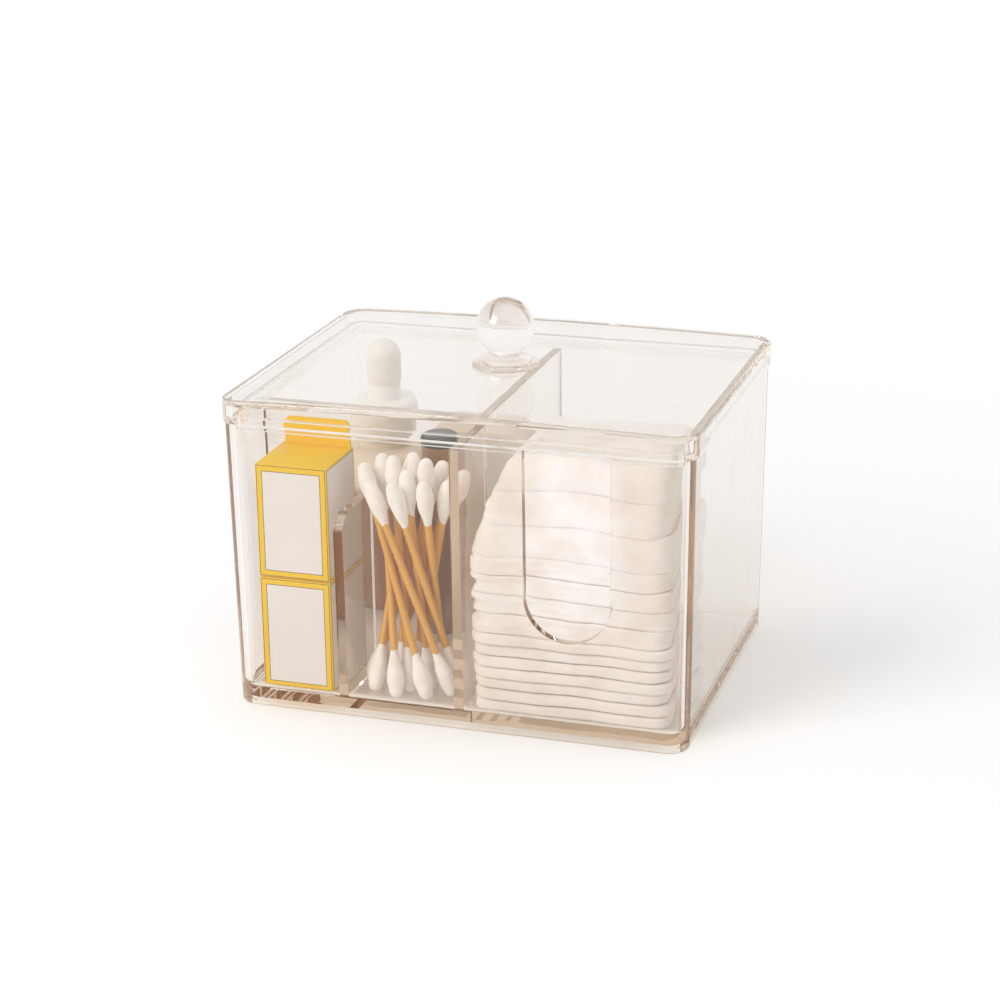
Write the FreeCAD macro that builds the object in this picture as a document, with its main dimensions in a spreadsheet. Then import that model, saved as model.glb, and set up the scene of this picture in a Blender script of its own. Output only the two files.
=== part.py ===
import FreeCAD, Part
import Sketcher
import math
import os

# Clear plastic organiser box: a drafted tub with three inner dividers, a finger notch in front of
# the cotton pads, a lift-off lid with a skirt and a locating lip, and a ball knob.
# It stands filled: two cartons, a bundle of cotton swabs, a pile of cotton pads, a dropper bottle,
# a lipstick and a compact. Millimetres; the origin is the middle of the foot rim on the table,
# +X to the right, +Y to the back, +Z up.

os.makedirs("parts", exist_ok=True)
doc = FreeCAD.newDocument("cotton_pad_organiser")

# ---------------------------------------------------------------- driving dimensions

sizes = doc.addObject("Spreadsheet::Sheet", "Sizes")

DIMENSIONS = [
    ("case_width", 148.4), ("case_depth", 115.4), ("case_height", 93.5), ("case_corner", 7.2),
    ("case_taper", 1.0), ("case_wall", 2.8), ("case_floor", 3.5), ("cavity_fillet", 2.5),
    ("foot_depth", 2.0), ("foot_width", 4.0), ("foot_bevel", 0.8),
    ("notch_width", 27.0), ("notch_floor", 33.0), ("notch_offset", 36.4),
    ("divider_thickness", 3.0), ("divider_gap", 0.1), ("main_divider_x", 1.0),
    ("swab_slot_width", 35.0), ("swab_slot_depth", 25.96),
    ("short_divider_top", 66.0), ("short_divider_round", 7.0),
    ("lid_overhang", 0.8), ("lid_edge", 7.5), ("lid_crown", 1.2), ("lid_plate", 2.5),
    ("lid_skirt", 3.0), ("lid_bevel", 1.2), ("lip_depth", 2.2), ("lip_wall", 1.5),
    ("lip_clearance", 0.4), ("lip_gap", 0.4), ("lip_ledge", 1.8),
    ("ball_diameter", 18.6), ("ball_height", 12.8), ("neck_diameter", 8.2), ("flange_diameter", 21.6),
    ("flange_step", 1.2), ("knob_seat", 0.6),
    ("carton_tall", 37.0), ("carton_right_gap", 2.6), ("carton_left_gap", 5.8),
    ("carton_front_gap", 1.7), ("carton_tab", 8.5), ("carton_card", 0.8), ("content_gap", 0.3),
    ("swab_length", 74.0), ("stick_diameter", 2.3), ("bud_diameter", 5.0), ("bud_length", 13.0),
    ("bud_tip", 3.0), ("swab_twist", 120.0), ("swab_inner_twist", 90.0), ("swab_inner_share", 0.36),
    ("swab_turn", 20.0), ("swab_inner_turn", 0.0),
    ("pad_side_gap", 3.5), ("pad_depth", 39.5), ("pad_corner", 9.0), ("pad_thin", 3.4),
    ("pad_thick", 6.0), ("pad_plump", 10.8), ("pad_stray", 0.7), ("pad_shoulder", 3.0),
    ("bottle_left_gap", 0.9), ("bottle_back_gap", 5.0), ("bottle_diameter", 32.0),
    ("bottle_neck", 18.0), ("collar_diameter", 22.4), ("collar_tall", 15.0),
    ("bulb_diameter", 11.6), ("bulb_tall", 17.0), ("bulb_headroom", 0.6),
    ("lipstick_right_gap", 19.0), ("lipstick_front_gap", 28.5), ("lipstick_diameter", 11.0),
    ("lipstick_tall", 40.0), ("lipstick_cap", 29.0),
    ("compact_right_gap", 0.5), ("compact_left_gap", 0.56), ("compact_front_gap", 9.5),
    ("compact_tall", 66.0), ("compact_thick", 13.0), ("compact_corner", 9.0), ("compact_edge", 1.5),
]

for row, (alias, value) in enumerate(DIMENSIONS, start=1):
    sizes.set("A%d" % row, alias)
    sizes.set("B%d" % row, str(value))
    sizes.setAlias("B%d" % row, alias)
doc.recompute()


def size(alias):
    return float(sizes.get(alias))


# ---------------------------------------------------------------- helpers

def origin_plane(body, role):
    return [item for item in body.Origin.OriginFeatures if item.Role == role][0]


def new_body(label):
    body = doc.addObject("PartDesign::Body", label)
    body.Label = label
    return body


def new_sketch(body, name, role, offset=None):
    sketch = body.newObject("Sketcher::SketchObject", name)
    sketch.AttachmentSupport = [(origin_plane(body, role), "")]
    sketch.MapMode = "FlatFace"
    if offset:
        sketch.setExpression("AttachmentOffset.Base.z", offset)
    return sketch


def feature(body, kind, name, profile, **settings):
    made = body.newObject("PartDesign::" + kind, name)
    made.Profile = profile
    for key, value in settings.items():
        setattr(made, key, value)
    return made


def rounded_rectangle(sketch, wide, deep, corner, prefix=""):
    """Rounded rectangle centred on the sketch's origin, sized by three expressions."""
    first = sketch.GeometryCount
    half_w = 60.0
    half_d = 40.0
    radius = 8.0
    flat_w = half_w - radius
    flat_d = half_d - radius
    lines = (((flat_w, -half_d), (-flat_w, -half_d)), ((-half_w, -flat_d), (-half_w, flat_d)),
             ((-flat_w, half_d), (flat_w, half_d)), ((half_w, flat_d), (half_w, -flat_d)))
    for (x1, y1), (x2, y2) in lines:
        sketch.addGeometry(Part.LineSegment(FreeCAD.Vector(x1, y1, 0), FreeCAD.Vector(x2, y2, 0)), False)
    centres = ((-flat_w, -flat_d, 180), (-flat_w, flat_d, 90), (flat_w, flat_d, 0), (flat_w, -flat_d, 270))
    for x, y, start in centres:
        circle = Part.Circle(FreeCAD.Vector(x, y, 0), FreeCAD.Vector(0, 0, 1), radius)
        sketch.addGeometry(Part.ArcOfCircle(circle, math.radians(start), math.radians(start + 90)), False)
    for side in range(4):
        line = first + side
        arc = first + 4 + side
        sketch.addConstraint(Sketcher.Constraint("Tangent", line, 2, arc, 2))
        sketch.addConstraint(Sketcher.Constraint("Tangent", arc, 1, first + (side + 1) % 4, 1))
    for side in range(1, 4):
        sketch.addConstraint(Sketcher.Constraint("Equal", first + 4, first + 4 + side))
    for side, kind in enumerate(("Horizontal", "Vertical", "Horizontal", "Vertical")):
        sketch.addConstraint(Sketcher.Constraint(kind, first + side))
    sketch.addConstraint(Sketcher.Constraint("Symmetric", first + 4, 3, first + 6, 3, -1, 1))
    named = (("Width", Sketcher.Constraint("DistanceX", first + 1, 1, first + 3, 2, 2 * half_w), wide),
             ("Depth", Sketcher.Constraint("DistanceY", first, 1, first + 2, 1, 2 * half_d), deep),
             ("Corner", Sketcher.Constraint("Radius", first + 4, radius), corner))
    for name, constraint, expression in named:
        index = sketch.addConstraint(constraint)
        sketch.renameConstraint(index, prefix + name)
        sketch.setExpression("Constraints." + prefix + name, expression)


def edges_where(shape, test):
    return ["Edge%d" % (number + 1) for number, edge in enumerate(shape.Edges) if test(edge)]


def level_edges(shape, height):
    return edges_where(shape, lambda edge: abs(edge.BoundBox.ZMin - height) < 0.001
                       and edge.BoundBox.ZLength < 0.001)


def drafted(body, base, name, faces, outward):
    """Leans the named faces away from the middle from z = 0 up, by the case's taper over its height."""
    draft = body.newObject("PartDesign::Draft", name)
    draft.Base = (base, faces)
    draft.NeutralPlane = (origin_plane(body, "XY_Plane"), [""])
    draft.PullDirection = (origin_plane(body, "Z_Axis"), [""])
    draft.Reversed = outward
    draft.setExpression("Angle", "atan(Sizes.case_taper / Sizes.case_height)")
    doc.recompute()
    return draft


def upright_faces(shape, low, reach_x, reach_y):
    """Names of the faces that stand on a height and lie within the given half sizes."""
    names = []
    for number, face in enumerate(shape.Faces):
        box = face.BoundBox
        inside = max(box.XMax, -box.XMin) < reach_x and max(box.YMax, -box.YMin) < reach_y
        if abs(box.ZMin - low) < 0.001 and box.ZLength > 1 and inside:
            names.append("Face%d" % (number + 1))
    return names


def vertical_edges(shape, low, high, reach_x, reach_y):
    """Names of the straight upright edges between two heights, inside the given half sizes."""
    def upright(edge):
        box = edge.BoundBox
        thin = box.XLength < 0.5 and box.YLength < 0.5 and box.ZLength > 0.5
        inside = abs(box.Center.x) < reach_x and abs(box.Center.y) < reach_y
        return thin and inside and box.ZMin > low - 0.01 and box.ZMax < high + 0.01
    return edges_where(shape, upright)


def round_edges(body, base, names, radius, name):
    fillet = body.newObject("PartDesign::Fillet", name)
    fillet.Base = (base, names)
    fillet.setExpression("Radius", radius)
    doc.recompute()
    return fillet


def break_edges(body, base, names, reach, name):
    chamfer = body.newObject("PartDesign::Chamfer", name)
    chamfer.Base = (base, names)
    chamfer.setExpression("Size", reach)
    doc.recompute()
    return chamfer


def value_of(expression):
    return float(sizes.evalExpression(expression))


def polygon_sketch(sketch, corners):
    """Closed outline of straight lines through corners given as (x, y) pairs of expressions."""
    spots = [FreeCAD.Vector(value_of(across), value_of(up), 0) for across, up in corners]
    count = len(spots)
    for index, spot in enumerate(spots):
        sketch.addGeometry(Part.LineSegment(spot, spots[(index + 1) % count]), False)
    for index in range(count):
        sketch.addConstraint(Sketcher.Constraint("Coincident", index, 2, (index + 1) % count, 1))
    for index, (corner, spot) in enumerate(zip(corners, spots)):
        for axis, expression, value in zip("XY", corner, (spot.x, spot.y)):
            fix = Sketcher.Constraint("Distance" + axis, -1, 1, index, 1, value)
            name = "P%d%s" % (index, axis)
            sketch.renameConstraint(sketch.addConstraint(fix), name)
            sketch.setExpression("Constraints." + name, expression)


def turned(body, name, corners):
    """Solid of revolution about the body's own Z; corners are (radius, height) expressions."""
    outline = new_sketch(body, name + "Outline", "XZ_Plane")
    polygon_sketch(outline, corners)
    turn = feature(body, "Revolution", name, outline)
    turn.ReferenceAxis = (outline, ["V_Axis"])
    doc.recompute()
    return turn


def place(item, position):
    for axis, expression in zip("xyz", position):
        item.setExpression("Placement.Base." + axis, expression)


# ---------------------------------------------------------------- shared expressions

FLOOR_Z = "(Sizes.foot_depth + Sizes.case_floor)"
FLOOR_SHRINK = "(Sizes.case_taper * (1 - " + FLOOR_Z + " / Sizes.case_height))"
DIVIDER_TOP = "(Sizes.case_height - Sizes.lip_depth - Sizes.lip_gap)"
TOP_SHRINK = "(Sizes.case_taper * (Sizes.lip_depth + Sizes.lip_gap) / Sizes.case_height)"
LID_WIDTH = "(Sizes.case_width + 2 * Sizes.lid_overhang)"
LID_DEPTH = "(Sizes.case_depth + 2 * Sizes.lid_overhang)"
LID_TOP = "(Sizes.case_height + Sizes.lid_edge + Sizes.lid_crown)"
CROWN_RADIUS = "(" + LID_WIDTH + "^2 / (8 * Sizes.lid_crown) + Sizes.lid_crown / 2)"


def inner_half(span, shrink):
    """Half of the cavity across a side, at the height that the shrink belongs to."""
    return "(Sizes." + span + " / 2 - Sizes.case_wall - " + shrink + ")"


floor_z = size("foot_depth") + size("case_floor")
floor_shrink = size("case_taper") * (1 - floor_z / size("case_height"))

# ---------------------------------------------------------------- case shell

shell = new_body("case_shell")
foot_width = "(Sizes.case_width - 2 * Sizes.case_taper)"
foot_depth = "(Sizes.case_depth - 2 * Sizes.case_taper)"

outside = new_sketch(shell, "OutsideOutline", "XY_Plane")
rounded_rectangle(outside, foot_width, foot_depth, "Sizes.case_corner - Sizes.case_taper")
block = feature(shell, "Pad", "OutsideBlock", outside)
block.setExpression("Length", "Sizes.case_height")
doc.recompute()
outside_draft = drafted(shell, block, "OutsideDraft",
                        upright_faces(block.Shape, 0, size("case_width"), size("case_depth")), True)

cavity_outline = new_sketch(shell, "CavityOutline", "XY_Plane", FLOOR_Z)
rounded_rectangle(cavity_outline, "(" + foot_width + " - 2 * Sizes.case_wall)",
                  "(" + foot_depth + " - 2 * Sizes.case_wall)",
                  "Sizes.case_corner - Sizes.case_taper - Sizes.case_wall")
cavity_pocket = feature(shell, "Pocket", "Cavity", cavity_outline, Type=1, Reversed=True)
doc.recompute()
cavity_faces = upright_faces(cavity_pocket.Shape, floor_z, size("case_width") / 2 - size("case_wall"),
                             size("case_depth") / 2 - size("case_wall"))
cavity = drafted(shell, cavity_pocket, "CavityDraft", cavity_faces, False)

floor_blend = round_edges(shell, cavity, level_edges(cavity.Shape, floor_z), "Sizes.cavity_fillet",
                          "FloorBlend")
break_edges(shell, floor_blend, level_edges(floor_blend.Shape, 0), "Sizes.foot_bevel", "FootBevel")

foot_recess = new_sketch(shell, "FootRecess", "XY_Plane")
rounded_rectangle(foot_recess, "(" + foot_width + " - 2 * Sizes.foot_width)",
                  "(" + foot_depth + " - 2 * Sizes.foot_width)",
                  "Sizes.case_corner - Sizes.foot_width")
recess = feature(shell, "Pocket", "UndersideRecess", foot_recess, Reversed=True)
recess.setExpression("Length", "Sizes.foot_depth")

# open-topped finger notch with a half-round floor, through the front wall only
notch = new_sketch(shell, "NotchOutline", "XZ_Plane")
notch_left = -10.0
notch_right = 10.0
notch_shoulder = 40.0
notch_top = 100.0
notch_points = [FreeCAD.Vector(notch_left, notch_top, 0), FreeCAD.Vector(notch_left, notch_shoulder, 0),
                FreeCAD.Vector(notch_right, notch_shoulder, 0), FreeCAD.Vector(notch_right, notch_top, 0)]
notch.addGeometry(Part.LineSegment(notch_points[0], notch_points[1]), False)
notch_circle = Part.Circle(FreeCAD.Vector(0, notch_shoulder, 0), FreeCAD.Vector(0, 0, 1), notch_right)
notch.addGeometry(Part.ArcOfCircle(notch_circle, math.pi, 2 * math.pi), False)
notch.addGeometry(Part.LineSegment(notch_points[2], notch_points[3]), False)
notch.addGeometry(Part.LineSegment(notch_points[3], notch_points[0]), False)
notch.addConstraint(Sketcher.Constraint("Tangent", 0, 2, 1, 1))
notch.addConstraint(Sketcher.Constraint("Tangent", 1, 2, 2, 1))
notch.addConstraint(Sketcher.Constraint("Coincident", 2, 2, 3, 1))
notch.addConstraint(Sketcher.Constraint("Coincident", 3, 2, 0, 1))
notch.addConstraint(Sketcher.Constraint("Vertical", 0))
notch.addConstraint(Sketcher.Constraint("Vertical", 2))
notch.addConstraint(Sketcher.Constraint("Horizontal", 3))
notch_radius = "Sizes.notch_width / 2"
notch_values = (("Radius", Sketcher.Constraint("Radius", 1, notch_right), notch_radius),
                ("Offset", Sketcher.Constraint("DistanceX", -1, 1, 1, 3, 1.0), "Sizes.notch_offset"),
                ("Centre", Sketcher.Constraint("DistanceY", -1, 1, 1, 3, notch_shoulder),
                 "Sizes.notch_floor + " + notch_radius),
                ("Top", Sketcher.Constraint("DistanceY", -1, 1, 0, 1, notch_top),
                 "Sizes.case_height + Sizes.case_wall"))
for name, constraint, expression in notch_values:
    notch.renameConstraint(notch.addConstraint(constraint), name)
    notch.setExpression("Constraints." + name, expression)
feature(shell, "Pocket", "FingerNotch", notch, Type=1, Reversed=True)
doc.recompute()

# ---------------------------------------------------------------- dividers


def divider_panel(label, plane, ends, top):
    """Upright panel on the cavity floor, up to the height top, before its corners are rounded.

    ends are (low, high) pairs of expressions for the near and the far end of the panel's outline.
    """
    body = new_body(label)
    sketch = new_sketch(body, label + "Outline", plane)
    (near_low, near_high), (far_low, far_high) = ends
    polygon_sketch(sketch, [(near_low, FLOOR_Z), (near_high, top), (far_high, top), (far_low, FLOOR_Z)])
    pad = feature(body, "Pad", label + "Pad", sketch, Midplane=True)
    pad.setExpression("Length", "Sizes.divider_thickness")
    doc.recompute()
    return body, pad


FRONT_LOW = "(-" + inner_half("case_depth", FLOOR_SHRINK) + " + Sizes.divider_gap)"
FRONT_HIGH = "(-" + inner_half("case_depth", TOP_SHRINK) + " + Sizes.divider_gap)"
BACK_LOW = "(" + inner_half("case_depth", FLOOR_SHRINK) + " - Sizes.divider_gap)"
BACK_HIGH = "(" + inner_half("case_depth", TOP_SHRINK) + " - Sizes.divider_gap)"
LEFT_LOW = "(-" + inner_half("case_width", FLOOR_SHRINK) + " + Sizes.divider_gap)"
LEFT_HIGH = "(-" + inner_half("case_width", TOP_SHRINK) + " + Sizes.divider_gap)"
CAVITY_FRONT = "(-" + inner_half("case_depth", FLOOR_SHRINK) + ")"
CAVITY_BACK = inner_half("case_depth", FLOOR_SHRINK)
CAVITY_LEFT = "(-" + inner_half("case_width", FLOOR_SHRINK) + ")"
CAVITY_RIGHT = inner_half("case_width", FLOOR_SHRINK)
CROSS_FRONT = "(" + CAVITY_FRONT + " + Sizes.swab_slot_depth)"
CROSS_BACK = "(" + CROSS_FRONT + " + Sizes.divider_thickness)"
MAIN_LEFT = "(Sizes.main_divider_x - Sizes.divider_thickness / 2)"
MAIN_RIGHT = "(Sizes.main_divider_x + Sizes.divider_thickness / 2)"
SHORT_RIGHT = "(" + MAIN_LEFT + " - Sizes.swab_slot_width)"
SHORT_LEFT = "(" + SHORT_RIGHT + " - Sizes.divider_thickness)"
PANEL_ROUND = "Sizes.cavity_fillet + Sizes.divider_gap"


def foot_corners(shape, thin_axis, spots):
    """Edges of a panel that run through its thickness at floor level, at the given places."""
    def match(edge):
        box = edge.BoundBox
        centre = box.Center
        along = {"x": box.XLength, "y": box.YLength}[thin_axis]
        place_now = {"x": centre.y, "y": centre.x}[thin_axis]
        near = any(abs(place_now - spot) < 0.5 for spot in spots)
        return along > 0.9 * size("divider_thickness") and box.ZLength < 0.01 \
            and abs(centre.z - floor_z) < 0.01 and near
    return edges_where(shape, match)


half_y = size("case_depth") / 2 - size("case_wall") - floor_shrink - size("divider_gap")
half_x = size("case_width") / 2 - size("case_wall") - floor_shrink - size("divider_gap")

main_divider, main_pad = divider_panel("main_divider", "YZ_Plane",
                                       ((FRONT_LOW, FRONT_HIGH), (BACK_LOW, BACK_HIGH)), DIVIDER_TOP)
round_edges(main_divider, main_pad, foot_corners(main_pad.Shape, "x", (-half_y, half_y)),
            PANEL_ROUND, "MainFootRound")
main_divider.setExpression("Placement.Base.x", "Sizes.main_divider_x")

cross_divider, cross_pad = divider_panel("cross_divider", "XZ_Plane",
                                         ((LEFT_LOW, LEFT_HIGH), (MAIN_LEFT, MAIN_LEFT)), DIVIDER_TOP)
round_edges(cross_divider, cross_pad, foot_corners(cross_pad.Shape, "y", (-half_x,)),
            PANEL_ROUND, "CrossFootRound")
cross_divider.setExpression("Placement.Base.y", CROSS_FRONT + " + Sizes.divider_thickness / 2")

SHORT_SHRINK = "(Sizes.case_taper * (1 - Sizes.short_divider_top / Sizes.case_height))"
SHORT_FRONT_HIGH = "(-" + inner_half("case_depth", SHORT_SHRINK) + " + Sizes.divider_gap)"
short_divider, short_pad = divider_panel("short_divider", "YZ_Plane",
                                         ((FRONT_LOW, SHORT_FRONT_HIGH), (CROSS_FRONT, CROSS_FRONT)),
                                         "Sizes.short_divider_top")
short_foot = round_edges(short_divider, short_pad, foot_corners(short_pad.Shape, "x", (-half_y,)),
                         PANEL_ROUND, "ShortFootRound")
front_top = edges_where(short_foot.Shape, lambda edge: edge.BoundBox.XLength > 0.9 * size("divider_thickness")
                        and abs(edge.BoundBox.Center.z - size("short_divider_top")) < 0.01
                        and edge.BoundBox.Center.y < value_of(CROSS_FRONT) - 5)
round_edges(short_divider, short_foot, front_top, "Sizes.short_divider_round", "ShortTopRound")
short_divider.setExpression("Placement.Base.x", SHORT_LEFT + " + Sizes.divider_thickness / 2")

# ---------------------------------------------------------------- lid

lid = new_body("lid")
lid_outline = new_sketch(lid, "LidOutline", "XY_Plane", "Sizes.case_height")
rounded_rectangle(lid_outline, LID_WIDTH, LID_DEPTH, "Sizes.case_corner + Sizes.lid_overhang")
lid_block = feature(lid, "Pad", "LidBlock", lid_outline)
lid_block.setExpression("Length", "Sizes.lid_edge + Sizes.lid_crown")
doc.recompute()


def crown_sketch(body, name, half_span, radius, closing):
    """Outline between the crown arc and a level line: closing is the height of that line."""
    sketch = new_sketch(body, name, "XZ_Plane")
    start_half = 60.0
    start_radius = 2000.0
    arc_z = 100.0
    centre_z = arc_z - math.sqrt(start_radius ** 2 - start_half ** 2)
    angle = math.asin(start_half / start_radius)
    circle = Part.Circle(FreeCAD.Vector(0, centre_z, 0), FreeCAD.Vector(0, 0, 1), start_radius)
    sketch.addGeometry(Part.ArcOfCircle(circle, math.pi / 2 - angle, math.pi / 2 + angle), False)
    level = arc_z + (10.0 if closing == "above" else -10.0)
    corners = [FreeCAD.Vector(-start_half, arc_z, 0), FreeCAD.Vector(-start_half, level, 0),
               FreeCAD.Vector(start_half, level, 0), FreeCAD.Vector(start_half, arc_z, 0)]
    for index in range(3):
        sketch.addGeometry(Part.LineSegment(corners[index], corners[index + 1]), False)
    sketch.addConstraint(Sketcher.Constraint("Coincident", 0, 2, 1, 1))
    sketch.addConstraint(Sketcher.Constraint("Coincident", 1, 2, 2, 1))
    sketch.addConstraint(Sketcher.Constraint("Coincident", 2, 2, 3, 1))
    sketch.addConstraint(Sketcher.Constraint("Coincident", 3, 2, 0, 1))
    sketch.addConstraint(Sketcher.Constraint("Vertical", 1))
    sketch.addConstraint(Sketcher.Constraint("Horizontal", 2))
    sketch.addConstraint(Sketcher.Constraint("Vertical", 3))
    sketch.addConstraint(Sketcher.Constraint("PointOnObject", 0, 3, -2))
    level_expression = "Sizes.case_height"
    if closing == "above":
        level_expression = LID_TOP + " + Sizes.lid_plate"
    values = (("Radius", Sketcher.Constraint("Radius", 0, start_radius), radius),
              ("CentreZ", Sketcher.Constraint("DistanceY", -1, 1, 0, 3, centre_z),
               LID_TOP + " - " + CROWN_RADIUS),
              ("Span", Sketcher.Constraint("DistanceX", -1, 1, 0, 1, start_half), half_span),
              ("OtherSpan", Sketcher.Constraint("DistanceX", 0, 2, -1, 1, start_half), half_span),
              ("Level", Sketcher.Constraint("DistanceY", -1, 1, 2, 1, level), level_expression))
    for name_now, constraint, expression in values:
        sketch.renameConstraint(sketch.addConstraint(constraint), name_now)
        sketch.setExpression("Constraints." + name_now, expression)
    return sketch


crown_cut = crown_sketch(lid, "CrownOutline", LID_WIDTH + " / 2 + Sizes.lid_skirt", CROWN_RADIUS, "above")
lid_crowned = feature(lid, "Pocket", "LidCrown", crown_cut, Type=1, Midplane=True)
doc.recompute()

lid_edge_z = size("case_height") + size("lid_edge")
top_rim = edges_where(lid_crowned.Shape, lambda edge: edge.BoundBox.ZMin > lid_edge_z - 0.5)
break_edges(lid, lid_crowned, top_rim, "Sizes.lid_bevel", "LidTopBevel")

tray = crown_sketch(lid, "TrayOutline", LID_WIDTH + " / 2 - Sizes.lid_skirt",
                    CROWN_RADIUS + " - Sizes.lid_plate", "below")
lid_tray = feature(lid, "Pocket", "LidTray", tray, Midplane=True)
lid_tray.setExpression("Length", LID_DEPTH + " - 2 * Sizes.lid_skirt")
doc.recompute()
tray_corners = vertical_edges(lid_tray.Shape, size("case_height"), lid_edge_z,
                              size("case_width") / 2 - 1, size("case_depth") / 2 - 1)
round_edges(lid, lid_tray, tray_corners, "Sizes.case_corner + Sizes.lid_overhang - Sizes.lid_skirt",
            "TrayCornerRound")

LIP_OUTER = "Sizes.case_wall + Sizes.lip_clearance"
LIP_INNER = LIP_OUTER + " + Sizes.lip_wall"
LEDGE_OUTER = "Sizes.lid_skirt / 2 - Sizes.lid_overhang"


def lid_ring(name, offset, outer_inset, inner_inset, tall):
    """Ring around the inside of the skirt; insets are measured in from the case's outside."""
    sketch = new_sketch(lid, name + "Outline", "XY_Plane", offset)
    for prefix, inset in (("Outer", outer_inset), ("Inner", inner_inset)):
        rounded_rectangle(sketch, "Sizes.case_width - 2 * (" + inset + ")",
                          "Sizes.case_depth - 2 * (" + inset + ")",
                          "Sizes.case_corner - (" + inset + ")", prefix)
    ring = feature(lid, "Pad", name, sketch)
    ring.setExpression("Length", tall)
    doc.recompute()


lid_ring("LipLedge", "Sizes.case_height", LEDGE_OUTER, LIP_INNER, "Sizes.lip_ledge")
lid_ring("LocatingLip", "Sizes.case_height - Sizes.lip_depth", LIP_OUTER, LIP_INNER, "Sizes.lip_depth")


# ball knob on a stepped flange, moulded in one with the lid
KNOB_SEAT = "(" + LID_TOP + " - Sizes.knob_seat)"
BALL_CENTRE = KNOB_SEAT + " + Sizes.ball_height"
FLANGE_RADIUS = "Sizes.flange_diameter / 2"
NECK_RADIUS = "Sizes.neck_diameter / 2"
BALL_RADIUS = "Sizes.ball_diameter / 2"
RING_RADIUS = FLANGE_RADIUS + " - 1.5 * Sizes.flange_step"
turned(lid, "KnobStem", [
    ("0", KNOB_SEAT + " - Sizes.lid_plate / 4"), (FLANGE_RADIUS, KNOB_SEAT + " - Sizes.lid_plate / 4"),
    (FLANGE_RADIUS, KNOB_SEAT + " + Sizes.flange_step"), (RING_RADIUS, KNOB_SEAT + " + Sizes.flange_step"),
    (RING_RADIUS, KNOB_SEAT + " + 2 * Sizes.flange_step"),
    (NECK_RADIUS, KNOB_SEAT + " + 3.2 * Sizes.flange_step"), (NECK_RADIUS, BALL_CENTRE), ("0", BALL_CENTRE)])
ball_outline = new_sketch(lid, "BallOutline", "XZ_Plane")
ball_centre = FreeCAD.Vector(0, value_of(BALL_CENTRE), 0)
ball_radius = value_of(BALL_RADIUS)
ball_circle = Part.Circle(ball_centre, FreeCAD.Vector(0, 0, 1), ball_radius)
ball_outline.addGeometry(Part.ArcOfCircle(ball_circle, -math.pi / 2, math.pi / 2), False)
ball_pole = FreeCAD.Vector(0, ball_radius, 0)
ball_outline.addGeometry(Part.LineSegment(ball_centre + ball_pole, ball_centre - ball_pole), False)
ball_outline.addConstraint(Sketcher.Constraint("Coincident", 0, 2, 1, 1))
ball_outline.addConstraint(Sketcher.Constraint("Coincident", 1, 2, 0, 1))
for end in (1, 2, 3):
    ball_outline.addConstraint(Sketcher.Constraint("PointOnObject", 0, end, -2))
ball_values = (("Radius", Sketcher.Constraint("Radius", 0, ball_radius), BALL_RADIUS),
               ("Centre", Sketcher.Constraint("DistanceY", -1, 1, 0, 3, ball_centre.y), BALL_CENTRE))
for name, constraint, expression in ball_values:
    ball_outline.renameConstraint(ball_outline.addConstraint(constraint), name)
    ball_outline.setExpression("Constraints." + name, expression)
ball = feature(lid, "Revolution", "KnobBall", ball_outline)
ball.ReferenceAxis = (ball_outline, ["V_Axis"])
doc.recompute()


# ---------------------------------------------------------------- cartons

SEAT = "(" + FLOOR_Z + " + Sizes.content_gap)"
CARTON_WIDTH = "(" + SHORT_LEFT + " - " + CAVITY_LEFT + " - Sizes.carton_left_gap - Sizes.carton_right_gap)"
CARTON_DEPTH = "(Sizes.swab_slot_depth - Sizes.carton_front_gap - Sizes.content_gap)"
CARTON_X = SHORT_LEFT + " - Sizes.carton_right_gap - " + CARTON_WIDTH + " / 2"
CARTON_Y = CROSS_FRONT + " - Sizes.content_gap - " + CARTON_DEPTH + " / 2"


def rectangle(sketch, wide, deep):
    """Square-cornered outline centred on the sketch's origin."""
    right = "(" + wide + ") / 2"
    back = "(" + deep + ") / 2"
    polygon_sketch(sketch, [("-" + right, "-" + back), (right, "-" + back), (right, back), ("-" + right, back)])


def carton(label, seat):
    """Folded card box with its upright creases broken, standing at the height seat."""
    body = new_body(label)
    outline = new_sketch(body, label + "Outline", "XY_Plane")
    rectangle(outline, CARTON_WIDTH, CARTON_DEPTH)
    made = feature(body, "Pad", label + "Block", outline)
    made.setExpression("Length", "Sizes.carton_tall")
    doc.recompute()
    creases = vertical_edges(made.Shape, 0, size("carton_tall"), size("case_width"), size("case_depth"))
    break_edges(body, made, creases, "Sizes.carton_card / 2", label + "Creases")
    place(body, (CARTON_X, CARTON_Y, seat))
    return body


carton("carton_lower", SEAT)
carton_upper = carton("carton_upper", SEAT + " + Sizes.carton_tall + Sizes.content_gap")

# hanging tab that stands up at the back of the upper carton
TAB_HALF = "(" + CARTON_WIDTH + " / 2 - Sizes.carton_card)"
TAB_TOP = "Sizes.carton_tall + Sizes.carton_tab"
tab_outline = new_sketch(carton_upper, "TabOutline", "XZ_Plane", "-" + CARTON_DEPTH + " / 2")
polygon_sketch(tab_outline, [("-" + TAB_HALF, "Sizes.carton_tall / 2"), ("-" + TAB_HALF, TAB_TOP),
                             (TAB_HALF, TAB_TOP), (TAB_HALF, "Sizes.carton_tall / 2")])
tab_pad = feature(carton_upper, "Pad", "Tab", tab_outline)
tab_pad.setExpression("Length", "Sizes.carton_card")
doc.recompute()

# ---------------------------------------------------------------- cotton swabs

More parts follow.
